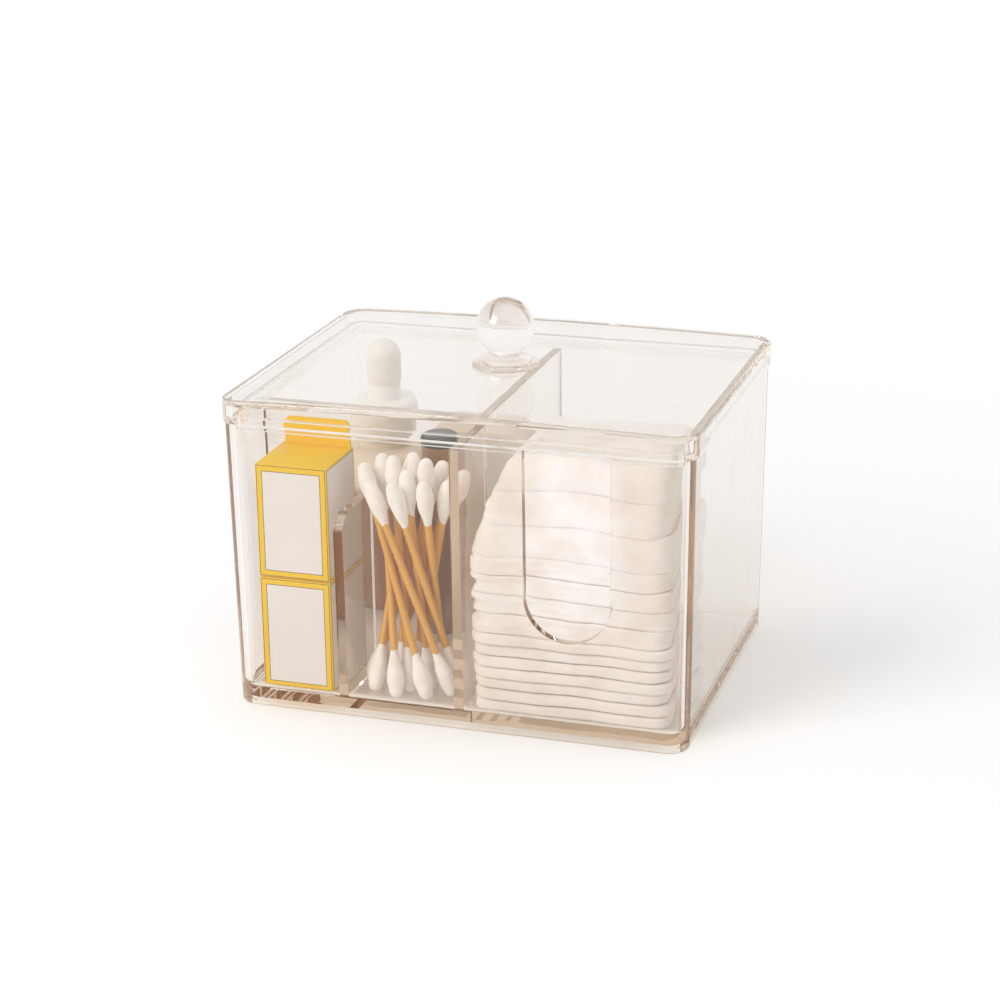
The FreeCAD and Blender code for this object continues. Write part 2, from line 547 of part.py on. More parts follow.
BUD_RADIUS = "Sizes.bud_diameter / 2"
BUD_ROOM = "(Sizes.bud_diameter / 2 + Sizes.content_gap)"
SWAB_RIGHT = "(" + MAIN_LEFT + " - " + BUD_ROOM + ")"
SWAB_LEFT = "(" + SHORT_RIGHT + " + " + BUD_ROOM + ")"
SWAB_BACK = "(" + CROSS_FRONT + " - " + BUD_ROOM + ")"
SWAB_FRONT = "(" + CAVITY_FRONT + " + Sizes.content_gap + " + BUD_ROOM + ")"
SWAB_X = "((" + SWAB_LEFT + " + " + SWAB_RIGHT + ") / 2)"
SWAB_Y = "((" + SWAB_FRONT + " + " + SWAB_BACK + ") / 2)"
SWAB_REACH_X = "((" + SWAB_RIGHT + " - " + SWAB_LEFT + ") / 2)"
SWAB_REACH_Y = "((" + SWAB_BACK + " - " + SWAB_FRONT + ") / 2)"
STICK_RADIUS = "Sizes.stick_diameter / 2"
OUTER_SWABS = 9
INNER_SWABS = 4


def leaning(angle, twist, share):
    """Placement of a swab whose head stands at an angle round the slot and its foot a twist further on."""
    head = (share + " * " + SWAB_REACH_X + " * cos(" + angle + ")",
            share + " * " + SWAB_REACH_Y + " * sin(" + angle + ")")
    foot = (share + " * " + SWAB_REACH_X + " * cos(" + angle + " + " + twist + ")",
            share + " * " + SWAB_REACH_Y + " * sin(" + angle + " + " + twist + ")")
    run = "((" + head[0] + ") - (" + foot[0] + "))"
    rise = "((" + head[1] + ") - (" + foot[1] + "))"
    lean = "(sqrt(" + run + "^2 + " + rise + "^2) / Sizes.swab_length)"
    level = "(Sizes.swab_length / 2 * sqrt(1 - " + lean + "^2))"
    middle = [slot + " + ((" + above + ") + (" + below + ")) / 2"
              for slot, above, below in zip((SWAB_X, SWAB_Y), head, foot)]
    base = "vector(" + middle[0] + "; " + middle[1] + "; " \
        + SEAT + " + Sizes.bud_tip / 2 * " + lean + " + " + level + ")"
    turn = "rotation(vector(-" + rise + "; " + run + "; 0); asin(" + lean + "))"
    return "placement(" + base + "; " + turn + ")"


def many_sided(body, name, height, radius):
    """Eight-cornered outline, radius from its middle to its corners."""
    sketch = new_sketch(body, name, "XY_Plane", height)
    angles = ["%d * 45 deg" % corner for corner in range(8)]
    polygon_sketch(sketch, [(radius + " * cos(" + turn + ")", radius + " * sin(" + turn + ")")
                            for turn in angles])
    return sketch


def copy_of(form, label):
    """Body whose solid is a linked copy of another body's."""
    body = new_body(label)
    copied = body.newObject("PartDesign::FeatureBase", label + "Copy")
    copied.BaseFeature = form
    body.Tip = copied
    return body


# stick and pair of buds, modelled once about the swab's middle; every swab is a copy of them
stick_form = new_body("stick_form")
stick_side = many_sided(stick_form, "StickSection", "0", STICK_RADIUS)
stick_pad = feature(stick_form, "Pad", "StickPad", stick_side, Midplane=True)
stick_pad.setExpression("Length", "Sizes.swab_length - Sizes.bud_length")

bud_form = new_body("bud_form")
bud_form.AllowCompound = True
BUD_ROOT = "(Sizes.swab_length / 2 - Sizes.bud_length)"
FLAT_SHARE = "cos(22.5 deg)"
bud_block = feature(bud_form, "Pad", "BudBlock", many_sided(bud_form, "BudSection", BUD_ROOT, BUD_RADIUS))
bud_block.setExpression("Length", "Sizes.bud_length")
doc.recompute()
root_z = value_of(BUD_ROOT)
tip_z = root_z + size("bud_length")


def cut_back(base, name, names, across, along):
    """Breaks the named end edges, given the reach along the bud and in from its flats."""
    chamfer = bud_form.newObject("PartDesign::Chamfer", name)
    chamfer.Base = (base, names)
    chamfer.ChamferType = 1
    chamfer.setExpression("Size", along)
    chamfer.setExpression("Size2", across)
    doc.recompute()
    return chamfer


ROOT_STEP = "(" + BUD_RADIUS + " - " + STICK_RADIUS + ") * 0.8 * " + FLAT_SHARE
bud_tip = cut_back(bud_block, "BudTip", level_edges(bud_block.Shape, tip_z),
                   "(" + BUD_RADIUS + " - Sizes.bud_tip / 2) * " + FLAT_SHARE, "0.3 * Sizes.bud_length")
bud_root = cut_back(bud_tip, "BudRoot", level_edges(bud_tip.Shape, root_z), ROOT_STEP, ROOT_STEP)
bud_bore = feature(bud_form, "Pocket", "StickHole", many_sided(
    bud_form, "StickHoleSection", BUD_ROOT, STICK_RADIUS), Reversed=True)
bud_bore.setExpression("Length", "Sizes.bud_length / 2")
doc.recompute()
other_bud = bud_form.newObject("PartDesign::Mirrored", "OtherBud")
other_bud.Originals = [bud_block, bud_tip, bud_root, bud_bore]
other_bud.MirrorPlane = (origin_plane(bud_form, "XY_Plane"), [""])
bud_form.Tip = other_bud
doc.recompute()


def swab(number, placement):
    for form, label in ((stick_form, "swab_stick_%02d"), (bud_form, "swab_buds_%02d")):
        copied = copy_of(form, label % number)
        copied.setExpression("Placement", placement)


for index in range(OUTER_SWABS):
    outer_angle = "(%d * 360 / %d + Sizes.swab_turn) * 1 deg" % (index, OUTER_SWABS)
    swab(index + 1, leaning(outer_angle, "Sizes.swab_twist * 1 deg", "1"))
for index in range(INNER_SWABS):
    inner_angle = "(%d * 360 / %d + Sizes.swab_inner_turn) * 1 deg" % (index, INNER_SWABS)
    swab(OUTER_SWABS + index + 1,
         leaning(inner_angle, "Sizes.swab_inner_twist * 1 deg", "Sizes.swab_inner_share"))
doc.recompute()

# ---------------------------------------------------------------- cotton pads

THIN_PADS = 7
THICK_PADS = 4
PLUMP_PADS = 3
PAD_LEFT = "(" + MAIN_RIGHT + " + 2 * Sizes.pad_stray)"
PAD_FRONT = "(" + CAVITY_FRONT + " + 0.6 * Sizes.cavity_fillet + Sizes.content_gap)"
PAD_WIDTH = "(" + CAVITY_RIGHT + " - " + PAD_LEFT + " - Sizes.pad_side_gap)"
CUT_SHARE = "%.3f" % (1 - math.sqrt(0.5))


def pad_outline(sketch, wide):
    """Rectangle whose rounded corners are each drawn as two flats that meet on the true arc."""
    half = ("(" + wide + ") / 2", "Sizes.pad_depth / 2")
    corner = []
    for cut_x, cut_y in (("0", "1"), (CUT_SHARE, CUT_SHARE), ("1", "0")):
        corner.append((half[0] + " - " + cut_x + " * Sizes.pad_corner",
                       half[1] + " - " + cut_y + " * Sizes.pad_corner"))
    points = []
    for side_x, side_y in ((1, -1), (1, 1), (-1, 1), (-1, -1)):
        turned_corner = [("%d * (%s)" % (side_x, x), "%d * (%s)" % (side_y, y)) for x, y in corner]
        points += turned_corner if side_x * side_y > 0 else turned_corner[::-1]
    polygon_sketch(sketch, points)



for index in range(THIN_PADS + THICK_PADS + PLUMP_PADS):
    thin_below = min(index, THIN_PADS)
    thick_below = min(max(index - THIN_PADS, 0), THICK_PADS)
    plump_below = max(index - THIN_PADS - THICK_PADS, 0)
    thickness = "Sizes.pad_thin"
    inset = "0"
    if index >= THIN_PADS:
        thickness = "Sizes.pad_thick"
    if index >= THIN_PADS + THICK_PADS:
        thickness = "Sizes.pad_plump"
        inset = "%d * Sizes.pad_shoulder" % plump_below ** 2
    number = index + 1
    cotton_pad = new_body("cotton_pad_%02d" % number)
    pad_sketch = new_sketch(cotton_pad, "PadOutline%02d" % number, "XY_Plane")
    pad_outline(pad_sketch, PAD_WIDTH + " - " + inset)
    pad_block = feature(cotton_pad, "Pad", "PadBlock%02d" % number, pad_sketch)
    pad_block.setExpression("Length", thickness)
    stray = "Sizes.pad_stray * sin(%d * 140 deg)" % index
    height = SEAT + " + %d * Sizes.pad_thin + %d * Sizes.pad_thick + %d * Sizes.pad_plump" \
        % (thin_below, thick_below, plump_below) + " + %d * Sizes.content_gap" % index
    place(cotton_pad, (PAD_LEFT + " + (" + PAD_WIDTH + " + " + inset + ") / 2 + " + stray,
                       PAD_FRONT + " + Sizes.pad_depth / 2 + %.1f * Sizes.pad_stray" % (index % 3 / 2), height))
doc.recompute()

# ---------------------------------------------------------------- dropper bottle


def standing(label, name, across, back, seat, corners):
    """Turned piece standing upright with its axis at (across, back)."""
    body = new_body(label)
    turned(body, name, corners)
    place(body, (across, back, seat))
    doc.recompute()


GLASS_RADIUS = "Sizes.bottle_diameter / 2"
MOUTH_RADIUS = "Sizes.bottle_neck / 2"
COLLAR_RADIUS = "Sizes.collar_diameter / 2"
BULB_RADIUS = "Sizes.bulb_diameter / 2"
SHOULDER = "(" + GLASS_RADIUS + " - " + MOUTH_RADIUS + ")"
BOTTLE_X = CAVITY_LEFT + " + Sizes.bottle_left_gap + " + GLASS_RADIUS
BOTTLE_Y = CAVITY_BACK + " - Sizes.bottle_back_gap - " + GLASS_RADIUS
LID_UNDERSIDE = "(Sizes.case_height + Sizes.lid_edge - Sizes.lid_plate)"
GLASS_TALL = "(" + LID_UNDERSIDE + " - Sizes.bulb_headroom - Sizes.bulb_tall - Sizes.collar_tall - " \
    + SEAT + ")"
COLLAR_SEAT = SEAT + " + " + GLASS_TALL
BULB_SEAT = COLLAR_SEAT + " + Sizes.collar_tall"
standing("bottle_glass", "Glass", BOTTLE_X, BOTTLE_Y, SEAT, [
    ("0", "0"), (GLASS_RADIUS + " - Sizes.cavity_fillet", "0"), (GLASS_RADIUS, "Sizes.cavity_fillet"),
    (GLASS_RADIUS, GLASS_TALL + " - 1.2 * " + SHOULDER),
    (MOUTH_RADIUS, GLASS_TALL + " - 0.5 * " + SHOULDER), (MOUTH_RADIUS, GLASS_TALL), ("0", GLASS_TALL)])
standing("bottle_collar", "Collar", BOTTLE_X, BOTTLE_Y, COLLAR_SEAT, [
    ("0", "0"), (COLLAR_RADIUS, "0"), (COLLAR_RADIUS, "0.8 * Sizes.collar_tall"),
    (COLLAR_RADIUS + " - 0.1 * Sizes.collar_tall", "Sizes.collar_tall"), ("0", "Sizes.collar_tall")])
standing("bottle_bulb", "Bulb", BOTTLE_X, BOTTLE_Y, BULB_SEAT, [
    ("0", "0"), (BULB_RADIUS, "0"), (BULB_RADIUS, "Sizes.bulb_tall - 0.7 * " + BULB_RADIUS),
    ("0.8 * " + BULB_RADIUS, "Sizes.bulb_tall - 0.25 * " + BULB_RADIUS),
    ("0.4 * " + BULB_RADIUS, "Sizes.bulb_tall"), ("0", "Sizes.bulb_tall")])

# ---------------------------------------------------------------- lipstick

TUBE_RADIUS = "Sizes.lipstick_diameter / 2"
CAP_RADIUS = "(" + TUBE_RADIUS + " + 2 * Sizes.content_gap)"
LIPSTICK_X = MAIN_LEFT + " - Sizes.lipstick_right_gap - " + TUBE_RADIUS
LIPSTICK_Y = CROSS_BACK + " + Sizes.lipstick_front_gap + " + TUBE_RADIUS
standing("lipstick_base", "Tube", LIPSTICK_X, LIPSTICK_Y, SEAT, [
    ("0", "0"), (TUBE_RADIUS, "0"), (TUBE_RADIUS, "Sizes.lipstick_tall"), ("0", "Sizes.lipstick_tall")])
standing("lipstick_cap", "Cap", LIPSTICK_X, LIPSTICK_Y, SEAT + " + Sizes.lipstick_tall", [
    ("0", "0"), (CAP_RADIUS, "0"), (CAP_RADIUS, "Sizes.lipstick_cap - 2 * Sizes.content_gap"),
    (CAP_RADIUS + " - 2 * Sizes.content_gap", "Sizes.lipstick_cap"), ("0", "Sizes.lipstick_cap")])

# ---------------------------------------------------------------- compact

COMPACT_RIGHT = "(" + MAIN_LEFT + " - Sizes.compact_right_gap)"
COMPACT_LEFT = "(" + BOTTLE_X + " + " + GLASS_RADIUS + " + Sizes.compact_left_gap)"
COMPACT_WIDTH = "(" + COMPACT_RIGHT + " - " + COMPACT_LEFT + ")"
COMPACT_FRONT = "(" + LIPSTICK_Y + " + " + CAP_RADIUS + " + Sizes.compact_front_gap)"
compact = new_body("compact")
compact_outline = new_sketch(compact, "CompactOutline", "XZ_Plane")
rounded_rectangle(compact_outline, COMPACT_WIDTH, "Sizes.compact_tall", "Sizes.compact_corner")
compact_block = feature(compact, "Pad", "CompactBlock", compact_outline, Midplane=True)
compact_block.setExpression("Length", "Sizes.compact_thick")
doc.recompute()
face_y = size("compact_thick") / 2
face_edges = edges_where(compact_block.Shape, lambda edge: edge.BoundBox.YLength < 0.001
                         and abs(abs(edge.BoundBox.YMin) - face_y) < 0.001)
break_edges(compact, compact_block, face_edges, "Sizes.compact_edge", "CompactBevel")
place(compact, (COMPACT_RIGHT + " - " + COMPACT_WIDTH + " / 2",
                COMPACT_FRONT + " + Sizes.compact_thick / 2",
                SEAT + " + Sizes.compact_tall / 2"))
doc.recompute()

# ---------------------------------------------------------------- check and export

for item in doc.Objects:
    if "Invalid" in item.State or "Error" in item.State:
        raise RuntimeError(item.Label + " did not rebuild")

forms = (stick_form, bud_form)
for body in [item for item in doc.findObjects("PartDesign::Body") if item not in forms]:
    if body.Shape.isNull() or not body.Shape.isValid() or body.Shape.Volume <= 0:
        raise RuntimeError(body.Label + " has no sound solid")
    body.Shape.exportStep("parts/" + body.Label + ".step")
    print(body.Label, "%.0f mm3" % body.Shape.Volume)
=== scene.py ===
import math

import bmesh
import bpy
from mathutils import Matrix, Vector, noise


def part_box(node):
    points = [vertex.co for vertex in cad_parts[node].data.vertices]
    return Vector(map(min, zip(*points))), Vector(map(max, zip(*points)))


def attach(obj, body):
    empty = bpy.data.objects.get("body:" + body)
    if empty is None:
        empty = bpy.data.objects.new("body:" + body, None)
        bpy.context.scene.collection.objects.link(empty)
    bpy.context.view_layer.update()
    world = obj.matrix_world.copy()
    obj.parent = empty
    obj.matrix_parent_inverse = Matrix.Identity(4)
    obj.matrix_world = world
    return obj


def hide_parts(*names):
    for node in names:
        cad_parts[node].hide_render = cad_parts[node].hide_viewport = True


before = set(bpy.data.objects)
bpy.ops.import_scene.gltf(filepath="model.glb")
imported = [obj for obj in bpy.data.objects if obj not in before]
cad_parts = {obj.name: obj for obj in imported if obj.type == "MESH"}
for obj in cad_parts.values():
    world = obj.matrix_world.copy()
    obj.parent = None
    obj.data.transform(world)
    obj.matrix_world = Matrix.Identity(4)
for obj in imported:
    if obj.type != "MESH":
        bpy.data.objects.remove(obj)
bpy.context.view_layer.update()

mm = 0.001
print("frame loaded,", len(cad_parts), "nodes")


# small tools for picking, shaping and finishing, with sizes in mm
def clearPick():
    if bpy.context.object and bpy.context.object.mode != "OBJECT":
        bpy.ops.object.mode_set(mode="OBJECT")
    bpy.ops.object.select_all(action="DESELECT")


def pick(*pieces):
    clearPick()
    for piece in pieces:
        piece.select_set(True)
    bpy.context.view_layer.objects.active = pieces[0]


def named(name):
    piece = bpy.context.object
    piece.name = name
    piece.data.name = name
    return piece


def settle(piece):  # place and size go into the mesh, the object stays at the origin
    pick(piece)
    bpy.ops.object.transform_apply(location=True, rotation=True, scale=True)
    return piece


def addBox(name, low, high):  # low and high are opposite corners
    clearPick()
    span = [(b - a) * mm for a, b in zip(low, high)]
    middle = [(a + b) / 2 * mm for a, b in zip(low, high)]
    bpy.ops.mesh.primitive_cube_add(size=1, location=middle, scale=span)
    return settle(named(name))


def addDisc(name, radius, centre, sides):  # flat disc to extrude
    clearPick()
    bpy.ops.mesh.primitive_circle_add(vertices=sides, radius=radius * mm, fill_type="NGON",
                                      location=[c * mm for c in centre])
    return settle(named(name))


def edit(piece, kind, test):  # opens edit mode with only the faces, edges or points that pass
    pick(piece)
    bpy.ops.object.mode_set(mode="EDIT")
    bpy.ops.mesh.select_mode(type=kind)
    bpy.ops.mesh.select_all(action="DESELECT")
    grid = bmesh.from_edit_mesh(piece.data)
    for item in {"FACE": grid.faces, "EDGE": grid.edges, "VERT": grid.verts}[kind]:
        if test(item):
            item.select = True
    grid.select_flush_mode()
    bmesh.update_edit_mesh(piece.data)


def done():
    bpy.ops.object.mode_set(mode="OBJECT")


def everything(item):
    return True


def upright(edge):
    a, b = (v.co for v in edge.verts)
    return abs(a.z - b.z) > 0.6 * (a - b).length


def levelAt(height):  # test for edges that lie flat at this height
    return lambda edge: all(abs(v.co.z - height * mm) < 0.05 * mm for v in edge.verts)


def sharp(edge, turn):  # true where two faces meet at more than this turn in radians
    return len(edge.link_faces) == 2 and edge.calc_face_angle() > turn


def bevelEdges(piece, test, reach, segments):
    edit(piece, "EDGE", test)
    bpy.ops.mesh.bevel(offset=reach * mm, offset_type="OFFSET", segments=segments, profile=0.5,
                       affect="EDGES", clamp_overlap=True)
    done()


def carve(piece, tool, how):  # how is DIFFERENCE or UNION, and the tool is used up
    pick(piece)
    cutter = piece.modifiers.new("carve", "BOOLEAN")
    cutter.operation = how
    cutter.object = tool
    cutter.solver = "EXACT"
    bpy.ops.object.modifier_apply(modifier=cutter.name)
    bpy.data.objects.remove(tool)


def smooth(piece, degrees, trueFlats=False):
    pick(piece)
    bpy.ops.object.shade_smooth_by_angle(angle=math.radians(degrees))
    if trueFlats:  # large flats keep their own normals and the rounded edges carry the turn
        even = piece.modifiers.new("even", "WEIGHTED_NORMAL")
        even.keep_sharp = True
        even.weight = 100
        bpy.ops.object.modifier_apply(modifier=even.name)


def cleanNormals(piece, gap):  # points closer than gap are merged first
    edit(piece, "FACE", everything)
    bpy.ops.mesh.remove_doubles(threshold=gap * mm)
    bpy.ops.mesh.normals_make_consistent(inside=False)
    done()


def paint(piece, material):
    piece.data.materials.clear()
    piece.data.materials.append(material)


def spinProfile(name, profile, steps, centre=(0, 0, 0)):  # profile: pairs of radius and height
    clearPick()
    bpy.ops.mesh.primitive_circle_add(vertices=len(profile), radius=mm, fill_type="NOTHING")
    piece = named(name)
    line = bmesh.new()
    points = [line.verts.new((radius * mm, 0, height * mm)) for radius, height in profile]
    for first, second in zip(points, points[1:]):
        line.edges.new((first, second))
    line.to_mesh(piece.data)
    line.free()
    edit(piece, "VERT", everything)
    bpy.ops.mesh.spin(steps=steps, angle=2 * math.pi, center=(0, 0, 0), axis=(0, 0, 1))
    done()
    cleanNormals(piece, 0.002)
    piece.location = [c * mm for c in centre]
    return settle(piece)


def copyOf(piece, name):
    other = piece.copy()
    other.data = piece.data.copy()
    other.name = name
    other.data.name = name
    bpy.context.scene.collection.objects.link(other)
    return other


def standAt(node):  # middle across, middle deep, foot and top of a CAD node
    low, high = (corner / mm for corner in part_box(node))
    return (low.x + high.x) / 2, (low.y + high.y) / 2, low.z, high.z


# colours are hex codes as they look, and nodes take them linear
def toLinear(code):
    parts = [int(code[i:i + 2], 16) / 255 for i in (1, 3, 5)]
    return [p / 12.92 if p <= 0.04045 else ((p + 0.055) / 1.055) ** 2.4 for p in parts] + [1.0]


def dimmed(colour, share):
    return [c * share for c in colour[:3]] + [1.0]


def addNode(material, kind, settings=None, **links):  # in0=... links to the socket of that number
    tree = material.node_tree
    node = tree.nodes.new(kind)
    for key, value in (settings or {}).items():
        if isinstance(key, str) and hasattr(node, key) and key not in node.inputs:
            setattr(node, key, value)
        else:
            node.inputs[key].default_value = value
    for key, source in links.items():
        socket = key.replace("_", " ")
        tree.links.new(source, node.inputs[socket if socket in node.inputs else int(key[2:])])
    return node


def newMaterial(name):
    material = bpy.data.materials.new(name)
    material.use_nodes = True
    material.node_tree.nodes.clear()
    return material


def finishMaterial(material, shader, volume=None):
    out = addNode(material, "ShaderNodeOutputMaterial", None, Surface=shader)
    if volume:
        material.node_tree.links.new(volume, out.inputs["Volume"])
    return material


plasticLook = {"ior": 1.52, "ripple": 38.0, "rippleDepth": 0.06, "soaksTo": "#cb9c27",
               "tub": {"tint": "#fbf9f7", "shadow": "#fbf9f6", "soak": 9.0},
               "lid": {"tint": "#f9f7f5", "shadow": "#fcfaf8", "soak": 2.2}}


def clearPlastic(name, part):
    # crystal polystyrene, injection moulded and polished: bright hard gloss, clear faces, and a
    # warm tan cast wherever the eye looks along a wall through a lot of plastic
    look = plasticLook[part]
    material = newMaterial(name)
    body = addNode(material, "ShaderNodeBsdfPrincipled", {
        "Base Color": toLinear(look["tint"]), "Roughness": 0.0, "IOR": plasticLook["ior"],
        "Transmission Weight": 1.0})
    where = addNode(material, "ShaderNodeTexCoord")
    ripple = addNode(material, "ShaderNodeTexNoise", {
        "Scale": plasticLook["ripple"], "Detail": 1.0},
        Vector=where.outputs["Object"])  # flow waves in the moulding, about 26 mm long
    swell = addNode(material, "ShaderNodeBump", {
        "Strength": plasticLook["rippleDepth"], "Distance": 0.002}, Height=ripple.outputs["Fac"])
    material.node_tree.links.new(swell.outputs["Normal"], body.inputs["Normal"])
    lamps = addNode(material, "ShaderNodeBsdfTransparent", {"Color": toLinear(look["shadow"])})
    path = addNode(material, "ShaderNodeLightPath")
    passing = addNode(material, "ShaderNodeMath", {"operation": "MAXIMUM"},
                      in0=path.outputs["Is Shadow Ray"],
                      in1=path.outputs["Is Diffuse Ray"])  # light from lamps and room goes through
    mix = addNode(material, "ShaderNodeMixShader", None, in0=passing.outputs[0],
                  in1=body.outputs["BSDF"], in2=lamps.outputs["BSDF"])
    soak = addNode(material, "ShaderNodeVolumeAbsorption", {
        "Color": toLinear(plasticLook["soaksTo"]), "Density": look["soak"]})
    return finishMaterial(material, mix.outputs["Shader"], soak.outputs["Volume"])


tubPlastic = clearPlastic("clearPolystyreneMoulded", "tub")
lidPlastic = clearPlastic("clearPolystyreneLid", "lid")


# the tub: drafted walls, rounded cavity and a recessed foot
tubShape = {"halfWide": 73.2, "halfDeep": 56.7, "tall": 93.39, "spread": 1.0, "corner": 6.7,
            "cornerSteps": 10, "wall": 2.8, "floor": 5.5, "floorRound": 2.5, "footBreak": 1.2,
            "rimBreak": 0.4, "recess": 2.0, "recessCorner": 3.2, "footRim": 4.0, "over": 5.0}


def flare(piece, spread, wide, deep):  # opens the top edge of a block out by spread on every side
    top = max(v.co.z for v in piece.data.vertices)
    edit(piece, "VERT", lambda v: v.co.z > top - 1e-6)
    bpy.ops.transform.resize(value=((wide + spread) / wide, (deep + spread) / deep, 1))
    done()


def roundedBlock(name, wide, deep, low, high, corner, spread=0.0):
    block = addBox(name, (-wide, -deep, low), (wide, deep, high))
    if spread:
        flare(block, spread, wide, deep)
    bevelEdges(block, upright, corner, tubShape["cornerSteps"])
    return block


def shapeTub(shape, inWide, inDeep):
    outside = roundedBlock("clearTub", shape["halfWide"], shape["halfDeep"], 0, shape["tall"],
                           shape["corner"], shape["spread"])
    bevelEdges(outside, levelAt(0), shape["footBreak"], 4)
    bevelEdges(outside, levelAt(shape["tall"]), shape["rimBreak"], 2)
    hollow = roundedBlock("hollow", inWide, inDeep, shape["floor"], shape["tall"] + shape["over"],
                          shape["corner"] - shape["wall"], shape["spread"])
    bevelEdges(hollow, levelAt(shape["floor"]), shape["floorRound"], 6)
    carve(outside, hollow, "DIFFERENCE")
    under = roundedBlock("under", shape["halfWide"] - shape["footRim"],
                         shape["halfDeep"] - shape["footRim"], -shape["over"], shape["recess"],
                         shape["recessCorner"])
    carve(outside, under, "DIFFERENCE")
    return outside


draft = tubShape["floor"] / tubShape["tall"] * tubShape["spread"]  # the wall's lean at the floor
inWide = tubShape["halfWide"] + draft - tubShape["wall"]
inDeep = tubShape["halfDeep"] + draft - tubShape["wall"]
tub = shapeTub(tubShape, inWide, inDeep)

# finger slot in the front wall, rounded at its foot
slotShape = {"middle": 36.4, "width": 27.0, "bottom": 33.0, "from": -70.0, "to": -45.0,
             "toolTop": 110.0, "steps": 16, "rimBreak": 0.3}
slotReach = slotShape["width"] / 2
slotTool = addBox("slotTool",
                  (slotShape["middle"] - slotReach, slotShape["from"], slotShape["bottom"]),
                  (slotShape["middle"] + slotReach, slotShape["to"], slotShape["toolTop"]))


def slotFoot(edge):  # the two corners at the foot of the slot tool, which run through the wall
    return (all(abs(v.co.z - slotShape["bottom"] * mm) < 1e-6 for v in edge.verts)
            and abs(edge.verts[0].co.x - edge.verts[1].co.x) < 1e-6)


def slotRim(edge):  # the sharp edges where the slot meets the two faces of the front wall
    inside = all(abs(v.co.x / mm - slotShape["middle"]) < slotReach + 0.1 and v.co.y < -0.05
                 and slotShape["bottom"] - 0.1 < v.co.z / mm < tubShape["tall"] - 1
                 for v in edge.verts)
    return inside and sharp(edge, 1.3)


bevelEdges(slotTool, slotFoot, slotReach - 0.02, slotShape["steps"])  # a hair under half its width
carve(tub, slotTool, "DIFFERENCE")
bevelEdges(tub, slotRim, slotShape["rimBreak"], 2)

# dividers, let a little into the walls and floor so that they read as one moulding
dividerShape = {"mainFrom": -0.5, "mainTo": 2.5, "crossFrom": -28.0, "crossTo": -25.0,
                "shortFrom": -38.5, "shortTo": -35.5, "top": 90.9, "topBreak": 0.35,
                "shortTop": 66.0, "shortRound": 7.0, "intoWall": 0.9, "overlap": 0.5}


def addDividers(shape):
    front, back = -inDeep - shape["intoWall"], inDeep + shape["intoWall"]
    foot = tubShape["floor"] - shape["overlap"]
    mainWall = addBox("mainWall", (shape["mainFrom"], front, foot),
                      (shape["mainTo"], back, shape["top"]))
    bevelEdges(mainWall, levelAt(shape["top"]), shape["topBreak"], 2)
    carve(tub, mainWall, "UNION")
    crossWall = addBox("crossWall", (-inWide - shape["intoWall"], shape["crossFrom"], foot),
                       (shape["mainFrom"] + shape["overlap"], shape["crossTo"], shape["top"]))
    bevelEdges(crossWall, levelAt(shape["top"]), shape["topBreak"], 2)
    carve(tub, crossWall, "UNION")
    shortWall = addBox("shortWall", (shape["shortFrom"], front, foot),
                       (shape["shortTo"], shape["crossFrom"] + shape["overlap"], shape["shortTop"]))
    bevelEdges(shortWall, lambda edge: all(v.co.z > 0.05 and v.co.y < -0.04 for v in edge.verts),
               shape["shortRound"], 10)
    carve(tub, shortWall, "UNION")


addDividers(dividerShape)
cleanNormals(tub, 0.0005)
smooth(tub, 32, True)
paint(tub, tubPlastic)
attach(tub, "case")
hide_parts("case_shell", "main_divider", "cross_divider", "short_divider")
print("tub shaped,", len(tub.data.polygons), "faces")


# the lid: crowned plate, hollow underside, ledge on the rim and locating lip inside it
lidShape = {"halfWide": 75.0, "halfDeep": 58.5, "seat": 93.5, "edge": 101.0, "top": 102.2,
            "corner": 8.0, "cornerSteps": 12, "crownSteps": 32, "edgeRound": 0.9, "skirt": 3.0,
            "plate": 2.5, "under": 5.0,
            "ledge": {"halfWide": 73.5, "halfDeep": 57.0, "wall": 4.0, "low": 93.4, "high": 95.3,
                      "corner": 6.5},
            "lip": {"halfWide": 71.0, "halfDeep": 54.5, "wall": 1.5, "low": 91.3, "high": 93.6,
                    "corner": 4.0}}
crownRise = lidShape["top"] - lidShape["edge"]
crownRadius = lidShape["halfWide"] ** 2 / (2 * crownRise) + crownRise / 2


def crownedBlock(name, wide, deep, low, topMiddle, corner):  # its top is an arc from side to side
    block = addBox(name, (-wide, -deep, low), (wide, deep, topMiddle))
    bevelEdges(block, upright, corner, lidShape["cornerSteps"])
    edit(block, "FACE", everything)
    for cut in range(1, lidShape["crownSteps"]):
        across = (-wide + 2 * wide * cut / lidShape["crownSteps"]) * mm
        bpy.ops.mesh.select_all(action="SELECT")
        bpy.ops.mesh.bisect(plane_co=(across, 0, 0), plane_no=(1, 0, 0))
    done()
    for v in block.data.vertices:
        if v.co.z > (topMiddle - 0.01) * mm:
            v.co.z -= (v.co.x / mm) ** 2 / (2 * crownRadius) * mm
    return block


def ring(name, shape):  # rounded frame that is joined to the lid from below
    band = roundedBlock(name, shape["halfWide"], shape["halfDeep"], shape["low"], shape["high"],
                        shape["corner"])
    core = roundedBlock(name + "Core", shape["halfWide"] - shape["wall"],
                        shape["halfDeep"] - shape["wall"], shape["low"] - 2, shape["high"] + 2,
                        shape["corner"] - shape["wall"])
    carve(band, core, "DIFFERENCE")
    return band


